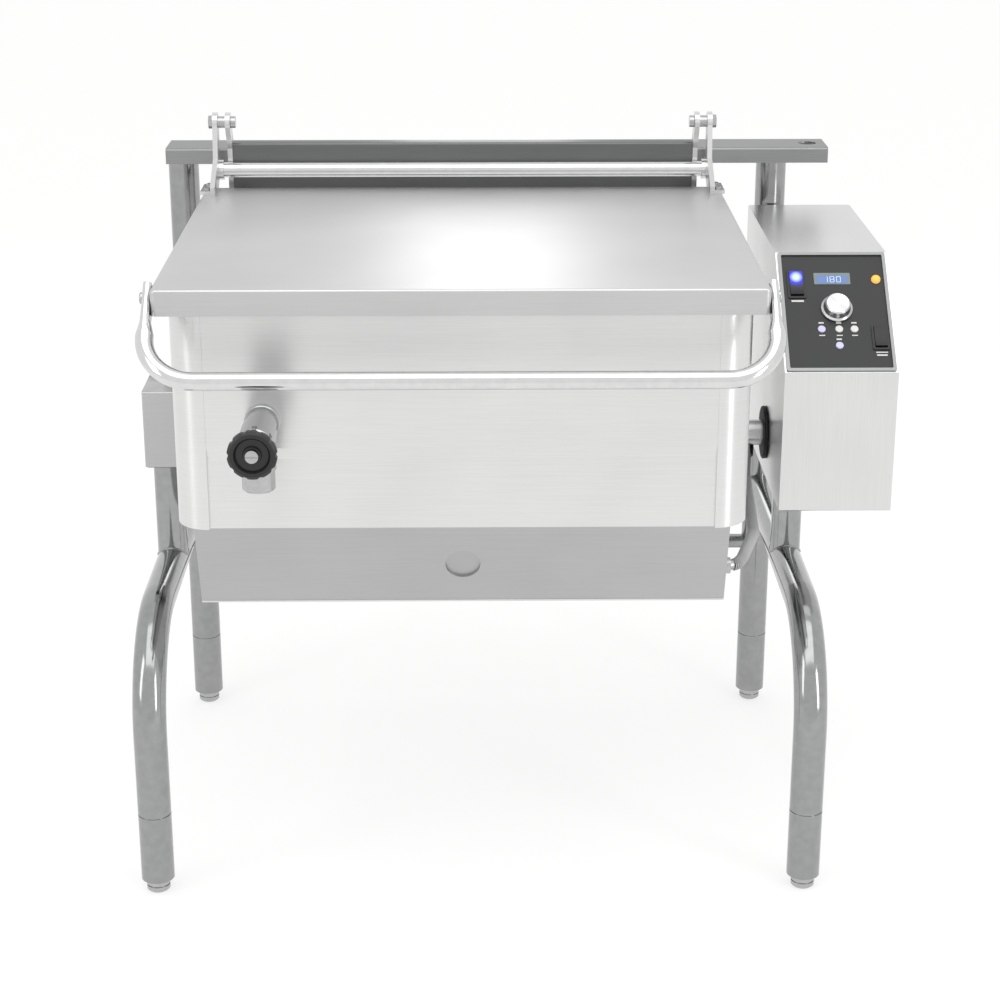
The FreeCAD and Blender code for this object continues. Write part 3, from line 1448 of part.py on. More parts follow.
def drive_gearbox():
    """Right bearing pedestal and worm gearbox that holds and turns the pan's shaft."""
    low, high = gearbox_span()
    floor = console_bottom + console_sheet
    half_base = gearbox_radius + gearbox_foot
    half_web = gearbox_radius - gearbox_foot / 4
    base = cuboid(low, high, -half_base, half_base, floor, floor + gearbox_base_height)
    case = rod(gearbox_radius, Vector(low + gearbox_step, 0, axis_height), RIGHT, high - low - 2 * gearbox_step)
    web = cuboid(low + gearbox_step, high - gearbox_step, -half_web, half_web, floor, axis_height)
    worm_case = rod(worm_case_diameter / 2, worm_place(-worm_case_length / 2), BACK, worm_case_length)
    neck_half = worm_case_diameter / 2 - 2
    middle = (low + high) / 2
    neck = cuboid(middle - neck_half, middle + neck_half, -2 * neck_half, 2 * neck_half,
                  axis_height, axis_height + worm_rise)
    whole = fused([base, web, case, neck, worm_case])
    return whole.cut(rod(trunnion_radius + running_clearance, Vector(low, 0, axis_height), RIGHT, high - low))


def tilt_motor():
    """Motor on the end of the worm housing, with cooling ribs."""
    start = worm_place(worm_case_length / 2)
    body = rod(motor_diameter / 2, start, BACK, motor_length)
    pitch = motor_length / (2 * motor_ribs + 1) * 1.3
    for number in range(motor_ribs):
        ring = pipe(motor_diameter / 2 + 1, motor_diameter / 2 - motor_rib_depth,
                    start + BACK * pitch * (number + 1.4), BACK, pitch * 0.4)
        body = body.cut(ring)
    return body


def contactors():
    """Two contactors on a rail fixed to the console's floor."""
    floor = console_bottom + console_sheet
    left = console_inner_offset + 25
    back = console_back - contactor_from_back
    front = back - contactor_depth
    rail_middle = (front + back) / 2
    rail_length = contactor_count * contactor_pitch + contactor_width / 2
    pieces = [cuboid(left, left + rail_length, rail_middle - mounting_rail_width / 2,
                     rail_middle + mounting_rail_width / 2, floor, floor + mounting_rail_height)]
    seat = floor + mounting_rail_height
    top = seat + contactor_height
    for number in range(contactor_count):
        low_x = left + mounting_rail_height + contactor_pitch * number
        case = cuboid(low_x, low_x + contactor_width, front, back, seat, top)
        step = cuboid(low_x, low_x + contactor_width, front, front + contactor_depth * 0.3,
                      seat + contactor_height * 0.45, top)
        pieces.append(case.cut(step))
    return fused(pieces)


def both_sides(make_piece):
    """The left and right copies of a piece, as separate solids of one node."""
    return Part.makeCompound([make_piece(side) for side in (-1, 1)])


def all_pieces():
    """Every node's name with its shape, in the place where it is made."""
    pieces = {
        "bent_legs": both_sides(bent_leg),
        "rear_legs": both_sides(rear_leg),
        "bearing_posts": both_sides(post),
        "leg_sockets": foot_sockets(),
        "rear_rail": rear_rail(),
        "rear_stretcher": rear_stretcher(),
        "left_bearing": left_bearing(),
        "left_bearing_bush": left_bearing_bush(),
        "left_trunnion_cover": left_trunnion_cover(),
        "left_trunnion_shaft": trunnion(-1),
        "right_trunnion_shaft": trunnion(1),
        "hub_plates": both_sides(hub_plate),
        "pan_jacket": jacket(),
        "braising_pan": inner_pan(),
        "heating_elements": heating_elements(),
        "element_clamps": clamp_bars(),
        "heater_box": heater_box(),
        "heater_cover": heater_cover(),
        "port_plug": port_plug(),
        "flange_bolts": flange_bolts(),
        "conduit": Part.makeCompound([conduit()] + conduit_fittings()),
        "shaft_seal": shaft_seal(),
        "hinge_brackets": both_sides(hinge_bracket),
        "hinge_channel": hinge_channel(),
        "lid_cover": lid_cover(),
        "lid_stiffeners": lid_stiffeners(),
        "lid_pads": lid_pads(),
        "lid_handle": lid_handle(),
        "lid_bolts": Part.makeCompound(handle_bolts() + arm_bolts()),
        "hinge_arms": both_sides(hinge_arm),
        "brace_tube": brace_tube(),
        "hinge_pins": hinge_pins(),
        "valve_body": valve_body(),
        "valve_nuts": Part.makeCompound([valve_collar(), valve_bonnet()]),
        "valve_stem": valve_stem(),
        "valve_disc": valve_disc(),
        "valve_handwheel": handwheel(),
        "console_shell": console_shell(),
        "console_rear_cover": console_rear_cover(),
        "drive_gearbox": drive_gearbox(),
        "tilt_motor": tilt_motor(),
        "contactors": contactors(),
        "supply_gland": supply_gland(),
        "control_panel": control_panel(),
        "panel_bezel": panel_bezel(),
        "display": display(),
        "signal_lamp": lamp(),
        "switch_frames": Part.makeCompound([rocker_frame(power_rocker), rocker_frame(tilt_rocker)]),
        "power_switch_rocker": rocker_cap(power_rocker),
        "tilt_switch_rocker": rocker_cap(tilt_rocker),
        "thermostat_knob": thermostat_knob(),
        "control_board": Part.makeCompound([thermostat_body(), control_board()]),
    }
    for name, (x, y) in foot_places().items():
        pieces[name + "_foot"] = levelling_foot(x, y)
    for number, place in enumerate(button_places, 1):
        pieces["push_button_%d" % number] = push_button(place)
    return pieces


def footprint_shift(pieces):
    """Move that brings the middle of the whole part's footprint to the origin."""
    box = FreeCAD.BoundBox()
    for shape in pieces.values():
        box.add(shape.optimalBoundingBox())
    return Vector(-(box.XMin + box.XMax) / 2, -(box.YMin + box.YMax) / 2, -box.ZMin)


def main():
    os.makedirs("parts", exist_ok=True)
    pieces = all_pieces()
    shift = footprint_shift(pieces)
    print("footprint shift", tuple(round(value, 4) for value in shift))
    for name, shape in pieces.items():
        moved = shape.copy()
        moved.translate(shift)
        print(name, len(moved.Solids), "valid" if moved.isValid() else "NOT VALID", round(moved.Volume / 1000, 1))
        moved.exportStep("parts/" + name + ".step")


main()
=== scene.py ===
# %% [markdown]
# A tilting braising pan stands on a bent tube frame. The construction model is loaded first, as a fixed
# frame: every node is already in its place. This script gives each node its finish, with some steel parts
# darkened as painted shade, and adds the small things that only matter to the eye, such as weld beads and the
# marks on the panel.

# %% Load the frame
import json
import math

import bpy
from mathutils import Matrix, Vector


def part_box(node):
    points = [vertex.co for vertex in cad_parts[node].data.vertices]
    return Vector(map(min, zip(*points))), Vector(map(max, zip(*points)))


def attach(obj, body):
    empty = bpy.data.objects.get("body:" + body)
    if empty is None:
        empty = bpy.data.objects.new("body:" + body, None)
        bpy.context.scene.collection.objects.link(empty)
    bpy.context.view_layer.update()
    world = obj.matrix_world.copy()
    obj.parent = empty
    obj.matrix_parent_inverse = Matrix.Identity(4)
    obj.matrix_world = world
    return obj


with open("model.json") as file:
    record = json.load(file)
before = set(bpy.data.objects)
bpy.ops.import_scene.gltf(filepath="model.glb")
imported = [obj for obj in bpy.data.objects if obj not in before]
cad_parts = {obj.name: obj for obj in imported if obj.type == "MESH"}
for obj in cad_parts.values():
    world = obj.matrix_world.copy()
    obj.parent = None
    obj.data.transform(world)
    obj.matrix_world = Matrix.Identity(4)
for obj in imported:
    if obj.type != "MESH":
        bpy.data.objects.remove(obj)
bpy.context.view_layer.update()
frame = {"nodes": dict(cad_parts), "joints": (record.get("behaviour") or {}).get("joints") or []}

MM = 0.001
nodes = frame["nodes"]
joint_places = {joint["name"]: joint for joint in frame["joints"]}

# %% [markdown]
# The camera stands in front and above, as in the photograph. Its height, distance and focal length
# were worked out from the feet, the lid's edges and the tube widths in the picture, taking a leg as
# a 50.8 mm tube. A long lens from 3.3 m keeps the upright edges nearly parallel.

# %% Camera
camera_place = Vector((-58.5, -3281.5, 1714.0)) * MM
camera_pitch = math.radians(19.61)
camera_yaw = math.radians(0.69)
camera_focal_pixels = 2200
camera_picture_pixels = 1000

camera_data = bpy.data.cameras.new("camera")
camera_data.sensor_width = 36
camera_data.lens = 36 * camera_focal_pixels / camera_picture_pixels
camera = bpy.data.objects.new("camera", camera_data)
bpy.context.scene.collection.objects.link(camera)
camera.location = camera_place
camera.rotation_euler = (math.pi / 2 - camera_pitch, 0, -camera_yaw)
bpy.context.scene.camera = camera
bpy.context.scene.view_settings.view_transform = "Standard"
print("camera lens", round(camera_data.lens, 1), "mm at", [round(v, 3) for v in camera.location])

# %% [markdown]
# The setting is a plain pale studio. The world is white for the camera, for the steel's reflections and for
# see-through pieces, and softer as a source of light. So steel shows the grey of its base colour against a
# white room, and the large soft lamps draw the long highlights. On the lid, rail, hinge channel, bezel,
# heater box and frame tubes that grey is partly painted shade.

# %% Colour and node helpers
def colour(hex_code):
    """Linear colour from an sRGB hex value."""
    channels = []
    for start in (0, 2, 4):
        value = int(hex_code[start:start + 2], 16) / 255
        channels.append(value / 12.92 if value <= 0.04045 else ((value + 0.055) / 1.055) ** 2.4)
    return (*channels, 1.0)


def add_node(tree, kind, settings=None, values=None, links=None):
    """A shader node with its settings, socket values and incoming links."""
    node = tree.nodes.new(kind)
    for name, value in (settings or {}).items():
        setattr(node, name, value)
    for name, value in (values or {}).items():
        node.inputs[name].default_value = value
    for name, source in (links or {}).items():
        tree.links.new(source, node.inputs[name])
    return node


# %% World
def mapped(tree, value, low, high, from_value, to_value):
    """Smooth change from one value to another while the input goes from low to high."""
    return add_node(tree, "ShaderNodeMapRange", {"interpolation_type": "SMOOTHSTEP"},
                    {"From Min": low, "From Max": high, "To Min": from_value, "To Max": to_value},
                    {"Value": value}).outputs[0]


def brighter(tree, first, second):
    return add_node(tree, "ShaderNodeMath", {"operation": "MAXIMUM"}, links={0: first, 1: second}).outputs[0]


def seen_background(tree):
    """One for rays of the camera, for mirrored rays and for rays through glass, else nought."""
    path = add_node(tree, "ShaderNodeLightPath")
    seen = brighter(tree, path.outputs["Is Camera Ray"], path.outputs["Is Glossy Ray"])
    return brighter(tree, seen, path.outputs["Is Transmission Ray"])


world = bpy.data.worlds.new("studio")
bpy.context.scene.world = world
world.use_nodes = True
tree = world.node_tree
tree.nodes.clear()
texture_place = add_node(tree, "ShaderNodeTexCoord")
toward = add_node(tree, "ShaderNodeSeparateXYZ", links={"Vector": texture_place.outputs["Generated"]})
overhead = mapped(tree, toward.outputs["Z"], 0.05, 0.45, 0.45, 0.95)
room_light = add_node(tree, "ShaderNodeBackground", values={"Color": colour("FAFAF8")},
                      links={"Strength": overhead})
white = add_node(tree, "ShaderNodeBackground", values={"Color": colour("FFFFFF"), "Strength": 1.0})
mixed = add_node(tree, "ShaderNodeMixShader",
                 links={0: seen_background(tree), 1: room_light.outputs[0], 2: white.outputs[0]})
add_node(tree, "ShaderNodeOutputWorld", links={"Surface": mixed.outputs[0]})
print("world nodes", len(tree.nodes))


# %% Lamps
def soft_lamp(name, place, aim, size, power):
    data = bpy.data.lights.new(name, "AREA")
    data.shape = "RECTANGLE"
    data.size, data.size_y = size
    data.energy = power
    lamp = bpy.data.objects.new(name, data)
    lamp.location = place
    lamp.rotation_mode = "QUATERNION"
    lamp.rotation_quaternion = (Vector(aim) - Vector(place)).to_track_quat("-Z", "Y")
    lamp.visible_camera = False
    bpy.context.scene.collection.objects.link(lamp)
    return lamp


soft_lamp("lamp_above", (0.0, -1.2, 3.4), (0, -0.6, 0.4), (3.6, 2.6), 36)
soft_lamp("lamp_left", (-2.8, -1.8, 1.9), (0, 0, 0.6), (0.8, 2.2), 12)
soft_lamp("lamp_right", (2.6, -2.4, 1.4), (0, 0, 0.6), (0.6, 2.0), 18)
soft_lamp("lamp_behind", (-0.02, 3.4, 2.3), (-0.05, 0, 0.97), (0.55, 3.0), 7)

# %% [markdown]
# The floor is a wide pale sheet. The camera and the steel see it almost white, as the photograph's
# ground is, and it still takes the faint shadow of the feet.

# %% Floor
bpy.ops.object.select_all(action="DESELECT")
bpy.ops.mesh.primitive_plane_add(size=60, location=(0, 0, 0))
floor = bpy.context.object
floor.name = "studio_floor"
floor_material = bpy.data.materials.new("pale_floor")
floor_material.use_nodes = True
tree = floor_material.node_tree
tree.nodes.clear()
ground = add_node(tree, "ShaderNodeBsdfDiffuse", values={"Color": colour("D8D8D8")})
pale_ground = add_node(tree, "ShaderNodeBsdfDiffuse", values={"Color": colour("A0A0A0")})
glow = add_node(tree, "ShaderNodeEmission", values={"Color": colour("FFFFFF"), "Strength": 0.68})
pale_and_glow = add_node(tree, "ShaderNodeAddShader", links={0: pale_ground.outputs[0], 1: glow.outputs[0]})
mixed = add_node(tree, "ShaderNodeMixShader",
                 links={0: seen_background(tree), 1: ground.outputs[0], 2: pale_and_glow.outputs[0]})
add_node(tree, "ShaderNodeOutputMaterial", links={"Surface": mixed.outputs[0]})
floor.data.materials.append(floor_material)
print("floor", floor.dimensions[:])

# %% [markdown]
# Stainless sheet, AISI 304 with a number 4 brushed finish, has fine parallel scratches left by a
# belt. They stretch a highlight across the grain. Real scratches are about 0.05 mm apart, too fine
# to show, so they are drawn about 0.9 mm apart and 90 mm long. The same function serves each sheet
# direction: a noise is squeezed across the scratches and left long beside them. The grain runs across
# the lid and rail, around the pan's corners, and upright on the console. The tangent turns with it.

# %% Steel finishes
def new_material(name):
    material = bpy.data.materials.new(name)
    material.use_nodes = True
    tree = material.node_tree
    tree.nodes.clear()
    return material, tree


def finish_output(tree, shader):
    add_node(tree, "ShaderNodeOutputMaterial", links={"Surface": shader.outputs[0]})


fine = 0.9
long = 90.0
grains = {"across": ((long, fine, fine), "X", 0.0), "around": ((long, long, fine), "Z", 0.25),
          "upright": ((fine, long, long), "X", 0.25)}


def brushed_steel(name, dark, light, roughness, grain_name, stretch=0.85, depth=0.04):
    """Brushed stainless sheet whose highlight is drawn out across the scratches."""
    material, tree = new_material(name)
    lengths_mm, turn_axis, turn = grains[grain_name]
    place = add_node(tree, "ShaderNodeTexCoord")
    scale = [1 / (length * MM) for length in lengths_mm]
    stretched = add_node(tree, "ShaderNodeMapping", values={"Scale": scale},
                         links={"Vector": place.outputs["Object"]})
    grain = add_node(tree, "ShaderNodeTexNoise", values={"Scale": 1.0, "Detail": 3.0, "Roughness": 0.6},
                     links={"Vector": stretched.outputs[0]})
    cloud = add_node(tree, "ShaderNodeTexNoise", values={"Scale": 5.0, "Detail": 2.0},
                     links={"Vector": place.outputs["Object"]})
    tone = add_node(tree, "ShaderNodeMath", {"operation": "MULTIPLY_ADD"}, {1: 0.55, 2: 0.0},
                    {0: grain.outputs["Fac"]})
    tone_sum = add_node(tree, "ShaderNodeMath", {"operation": "MULTIPLY_ADD"}, {1: 0.45},
                        {0: cloud.outputs["Fac"], 2: tone.outputs[0]})
    ramp = add_node(tree, "ShaderNodeValToRGB", links={"Fac": tone_sum.outputs[0]})
    ramp.color_ramp.elements[0].position = 0.3
    ramp.color_ramp.elements[0].color = colour(dark)
    ramp.color_ramp.elements[1].position = 0.7
    ramp.color_ramp.elements[1].color = colour(light)
    rough = add_node(tree, "ShaderNodeMapRange",
                     values={"To Min": roughness - 0.06, "To Max": roughness + 0.07},
                     links={"Value": grain.outputs["Fac"]})
    bump = add_node(tree, "ShaderNodeBump", values={"Strength": depth, "Distance": 0.0004},
                    links={"Height": grain.outputs["Fac"]})
    around = add_node(tree, "ShaderNodeTangent", {"direction_type": "RADIAL", "axis": turn_axis})
    steel = add_node(tree, "ShaderNodeBsdfPrincipled",
                     values={"Metallic": 1.0, "Anisotropic": stretch, "Anisotropic Rotation": turn},
                     links={"Base Color": ramp.outputs["Color"], "Roughness": rough.outputs[0],
                            "Normal": bump.outputs[0], "Tangent": around.outputs[0]})
    finish_output(tree, steel)
    return material


def polished_steel(name, tone, light, roughness, haze_mm=14.0):
    """Polished stainless with faint polishing haze and a slightly uneven gloss."""
    material, tree = new_material(name)
    place = add_node(tree, "ShaderNodeTexCoord")
    haze = add_node(tree, "ShaderNodeTexNoise", values={"Scale": 1 / (haze_mm * MM), "Detail": 4.0},
                    links={"Vector": place.outputs["Object"]})
    rough = add_node(tree, "ShaderNodeMapRange",
                     values={"To Min": roughness - 0.04, "To Max": roughness + 0.06},
                     links={"Value": haze.outputs["Fac"]})
    tint = add_node(tree, "ShaderNodeMixRGB", values={"Color1": colour(tone), "Color2": colour(light)},
                    links={"Fac": haze.outputs["Fac"]})
    bump = add_node(tree, "ShaderNodeBump", values={"Strength": 0.02, "Distance": 0.0005},
                    links={"Height": haze.outputs["Fac"]})
    steel = add_node(tree, "ShaderNodeBsdfPrincipled", values={"Metallic": 1.0},
                     links={"Base Color": tint.outputs["Color"], "Roughness": rough.outputs[0],
                            "Normal": bump.outputs[0]})
    finish_output(tree, steel)
    return material


jacket_sheet = brushed_steel("brushed_stainless_jacket", "D6D6D6", "E3E3E2", 0.30, "around")
# The lid is the same steel as the jacket; its darker base colour is painted shade standing for greyer
# reflections.
lid_sheet_painted_shade = brushed_steel("brushed_stainless_lid_painted_shade", "C0C0C0", "CCCCCC", 0.36, "across", 0.2)
sheet_across = brushed_steel("brushed_stainless_across", "D2D2D2", "E0E0DF", 0.28, "across")
# Rail, panel bezel and hinge channel are the same brushed steel; their much darker base colours are painted
# shade.
rail_sheet_painted_shade = brushed_steel("brushed_stainless_rail_painted_shade", "8C8D8D", "989999", 0.30, "across")
channel_sheet_painted_shade = brushed_steel("brushed_stainless_channel_painted_shade", "6C6D6D", "787979", 0.32, "across")
sheet_upright = brushed_steel("brushed_stainless_upright", "D0D0D0", "DDDDDC", 0.30, "upright", 0.6)
console_sheet = brushed_steel("brushed_stainless_console", "D0D0D0", "DDDDDC", 0.30, "upright", 0.0)
# Heater box and left trunnion cover: the same steel, with the base colour darkened as painted shade for the
# down-leaning apron.
apron_sheet_painted_shade = brushed_steel("brushed_stainless_apron_painted_shade", "B0B0B1", "BDBDBD", 0.34, "around")
# Frame tubes: the same polished steel as the handle, with the base colour darkened as painted shade.
tube_steel_painted_shade = polished_steel("polished_stainless_tube_painted_shade", "909191", "A6A7A7", 0.13)
handle_steel = polished_steel("mirror_polished_handle", "CACBCB", "DEDEDD", 0.11)
casting_steel = polished_steel("polished_investment_casting", "A9AAAA", "BFC0C0", 0.22, 6.0)
print("steel finishes", [m.name for m in bpy.data.materials if "stainless" in m.name])

# %% [markdown]
# The pan's inside is blasted steel. Thousands of bead marks, about 0.3 mm wide, scatter the light
# evenly, so the metal looks satin and slightly darker. They are drawn 1.2 mm wide.

# %% Blasted steel
def blasted_steel(name, dark, light, roughness, bead_mm=1.2):
    material, tree = new_material(name)
    place = add_node(tree, "ShaderNodeTexCoord")
    beads = add_node(tree, "ShaderNodeTexVoronoi", values={"Scale": 1 / (bead_mm * MM)},
                     links={"Vector": place.outputs["Object"]})
    stain = add_node(tree, "ShaderNodeTexNoise", values={"Scale": 9.0, "Detail": 4.0},
                     links={"Vector": place.outputs["Object"]})
    tint = add_node(tree, "ShaderNodeMixRGB", values={"Color1": colour(dark), "Color2": colour(light)},
                    links={"Fac": stain.outputs["Fac"]})
    rough = add_node(tree, "ShaderNodeMapRange",
                     values={"To Min": roughness - 0.05, "To Max": roughness + 0.05},
                     links={"Value": stain.outputs["Fac"]})
    bump = add_node(tree, "ShaderNodeBump", values={"Strength": 0.12, "Distance": 0.0003},
                    links={"Height": beads.outputs["Distance"]})
    steel = add_node(tree, "ShaderNodeBsdfPrincipled", values={"Metallic": 1.0},
                     links={"Base Color": tint.outputs["Color"], "Roughness": rough.outputs[0],
                            "Normal": bump.outputs[0]})
    finish_output(tree, steel)
    return material


pan_steel = blasted_steel("bead_blasted_stainless", "A4A5A5", "BDBDBC", 0.42)
print("pan finish", pan_steel.name)

# %% [markdown]
# Rubber, moulded phenolic, the laminated control plate, paint and lacquer are not metal. What the
# eye reads there is how even the gloss is: each one gets its own colour, a fine moulded or sprayed
# texture, and a roughness that wanders a little.

# %% Plastics, rubber and paint
def coated(name, dark, light, roughness, texture_mm, depth=0.1, metallic=0.0):
    """Moulded, laminated or painted surface with a fine even texture."""
    material, tree = new_material(name)
    place = add_node(tree, "ShaderNodeTexCoord")
    skin = add_node(tree, "ShaderNodeTexNoise", values={"Scale": 1 / (texture_mm * MM), "Detail": 3.0},
                    links={"Vector": place.outputs["Object"]})
    wander = add_node(tree, "ShaderNodeTexNoise", values={"Scale": 14.0, "Detail": 2.0},
                      links={"Vector": place.outputs["Object"]})
    tint = add_node(tree, "ShaderNodeMixRGB", values={"Color1": colour(dark), "Color2": colour(light)},
                    links={"Fac": wander.outputs["Fac"]})
    rough = add_node(tree, "ShaderNodeMapRange",
                     values={"To Min": roughness - 0.06, "To Max": roughness + 0.06},
                     links={"Value": skin.outputs["Fac"]})
    bump = add_node(tree, "ShaderNodeBump", values={"Strength": depth, "Distance": 0.0003},
                    links={"Height": skin.outputs["Fac"]})
    body = add_node(tree, "ShaderNodeBsdfPrincipled", values={"Metallic": metallic},
                    links={"Base Color": tint.outputs["Color"], "Roughness": rough.outputs[0],
                           "Normal": bump.outputs[0]})
    finish_output(tree, body)
    return material


def node_centre(name):
    low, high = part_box(name)
    return (low + high) / 2


panel_normal = -Vector(joint_places["thermostat_turn"]["axis"])
panel_tilt = math.atan2(-panel_normal.y, panel_normal.z)
knob_centre = Vector(joint_places["thermostat_turn"]["pos_m"])


def panel_space(tree, centre):
    """Object coordinates turned and moved so that X is across, Y up and Z out of the panel."""
    place = add_node(tree, "ShaderNodeTexCoord")
    return add_node(tree, "ShaderNodeMapping", {"vector_type": "TEXTURE"},
                    {"Location": centre, "Rotation": (panel_tilt, 0, 0)}, {"Vector": place.outputs["Object"]})


def lit_lens(name, centre, edge, core, reach_mm, strength):
    """Coloured lens lit from inside, brightest at one point and dark past the reach."""
    material, tree = new_material(name)
    centred = panel_space(tree, centre)
    distance = add_node(tree, "ShaderNodeVectorMath", {"operation": "LENGTH"}, links={0: centred.outputs[0]})
    light = mapped(tree, distance.outputs["Value"], 0.0, reach_mm * MM, 1.0, 0.0)
    ramp = add_node(tree, "ShaderNodeValToRGB", links={"Fac": light})
    ramp.color_ramp.elements[0].color = colour("0B0B10")
    ramp.color_ramp.elements[1].color = colour(core)
    middle = ramp.color_ramp.elements.new(0.42)
    middle.color = colour(edge)
    lens = add_node(tree, "ShaderNodeBsdfPrincipled",
                    values={"Roughness": 0.22, "Emission Strength": strength},
                    links={"Base Color": ramp.outputs["Color"], "Emission Color": ramp.outputs["Color"]})
    finish_output(tree, lens)
    return material


rubber = coated("moulded_rubber", "101010", "1C1C1C", 0.62, 0.8, 0.2)
phenolic = coated("moulded_phenolic", "141414", "202020", 0.38, 0.6, 0.25)
panel_laminate = coated("laminated_control_plate", "202122", "28292A", 0.45, 0.5, 0.05)
gearbox_paint = coated("painted_iron_casting", "3E444A", "4B5157", 0.55, 1.5, 0.3)
board_lacquer = coated("lacquered_circuit_board", "0E4526", "175A33", 0.3, 1.0, 0.1)
white_plastic = coated("white_moulded_plastic", "D9D9D6", "E6E6E3", 0.4, 0.7, 0.1)
bronze = coated("turned_bearing_bronze", "9A7440", "B08850", 0.3, 0.9, 0.1, 1.0)
display_glass = coated("display_window", "6E7A7C", "7E8A8A", 0.16, 3.0, 0.0)
hose_steel = coated("strip_wound_steel_hose", "B4B5B6", "C6C7C8", 0.3, 0.6, 1.0)
lcd_field = coated("lcd_field", "5A78B4", "6C8AC4", 0.2, 1.5, 0.0)
lcd_segment = coated("lcd_segment", "C8DCFF", "D8E8FF", 0.3, 1.5, 0.0)
lilac_plastic = coated("lilac_button", "C9C8F2", "D8D7FA", 0.35, 0.7, 0.1)
white_ink = coated("white_screen_print", "D2D2D0", "E2E2E0", 0.5, 0.8, 0.05)
upper_half = Matrix.Rotation(panel_tilt, 3, "X") @ Vector((0, 11, 0)) * MM
power_lens = lit_lens("lit_blue_switch_lens", node_centre("power_switch_rocker") + upper_half,
                      "1C1CC4", "B4C8FF", 19, 1.0)
lamp_lens = lit_lens("amber_signal_lens", node_centre("signal_lamp"), "E8962E", "FFE8C0", 24, 1.0)
print("other finishes", rubber.name, phenolic.name, panel_laminate.name)

# %% [markdown]
# The temperature knob is turned from aluminium bar. A turning tool leaves circles round the axis, drawn here
# as bumps and a wandering roughness. The colour is made lighter in two opposite sectors round the axis: a
# painted highlight in the shape the circles would draw. The circles and the painted highlight follow the
# knob's own axis, which leans with the panel, so a mapping first brings the knob's middle and tilt to the
# pattern's own.

# %% Spun aluminium with a painted two-sector highlight
def spun_aluminium_with_painted_fans(name, centre, ring_mm=0.8):
    material, tree = new_material(name)
    turned = panel_space(tree, centre)
    parts = add_node(tree, "ShaderNodeSeparateXYZ", links={"Vector": turned.outputs[0]})
    flat = add_node(tree, "ShaderNodeCombineXYZ", links={"X": parts.outputs["X"], "Y": parts.outputs["Y"]})
    radius = add_node(tree, "ShaderNodeVectorMath", {"operation": "LENGTH"}, links={0: flat.outputs[0]})
    rings = add_node(tree, "ShaderNodeTexNoise", {"noise_dimensions": "1D"},
                     {"Scale": 1 / (ring_mm * MM), "Detail": 2.0}, {"W": radius.outputs["Value"]})
    # Painted highlight: the colour below turns lighter in two opposite sectors round the axis, not the
    # metal's own tone.
    angle = add_node(tree, "ShaderNodeMath", {"operation": "ARCTAN2"},
                     links={0: parts.outputs["Y"], 1: parts.outputs["X"]})
    highlight_sector_angle = add_node(tree, "ShaderNodeMath", {"operation": "MULTIPLY"}, {1: 2.0}, {0: angle.outputs[0]})
    highlight_sector_wave = add_node(tree, "ShaderNodeMath", {"operation": "SINE"}, links={0: highlight_sector_angle.outputs[0]})
    tint = add_node(tree, "ShaderNodeMapRange",
                    values={"From Min": -1.0, "From Max": 1.0, "To Min": 0.0, "To Max": 1.0},
                    links={"Value": highlight_sector_wave.outputs[0]})
    painted_highlight_tint = add_node(tree, "ShaderNodeMixRGB",
                          values={"Color1": colour("B4B5B6"), "Color2": colour("E6E6E6")},
                          links={"Fac": tint.outputs[0]})
    rough = add_node(tree, "ShaderNodeMapRange", values={"To Min": 0.22, "To Max": 0.36},
                     links={"Value": rings.outputs["Fac"]})
    bump = add_node(tree, "ShaderNodeBump", values={"Strength": 0.25, "Distance": 0.0002},
                    links={"Height": rings.outputs["Fac"]})
    metal = add_node(tree, "ShaderNodeBsdfPrincipled", values={"Metallic": 1.0},
                     links={"Base Color": painted_highlight_tint.outputs["Color"], "Roughness": rough.outputs[0],
                            "Normal": bump.outputs[0]})
    finish_output(tree, metal)
    return material


knob_metal_painted_highlight = spun_aluminium_with_painted_fans("spun_aluminium_knob_painted_highlight", knob_centre)
print("panel slope", round(math.degrees(panel_tilt), 2), "degrees")

# %% [markdown]
# Each node now gets the kind of finish of the real piece. Sheet parts are told apart by the way their grain
# runs: across on the lid, the rail and the hinge channel, around the pan's jacket and the heater box, and
# upright on the hinge plates and the console. The lid, rail, hinge channel, bezel, heater box, left trunnion
# cover and frame tubes also carry darker base colours, which are painted shade.

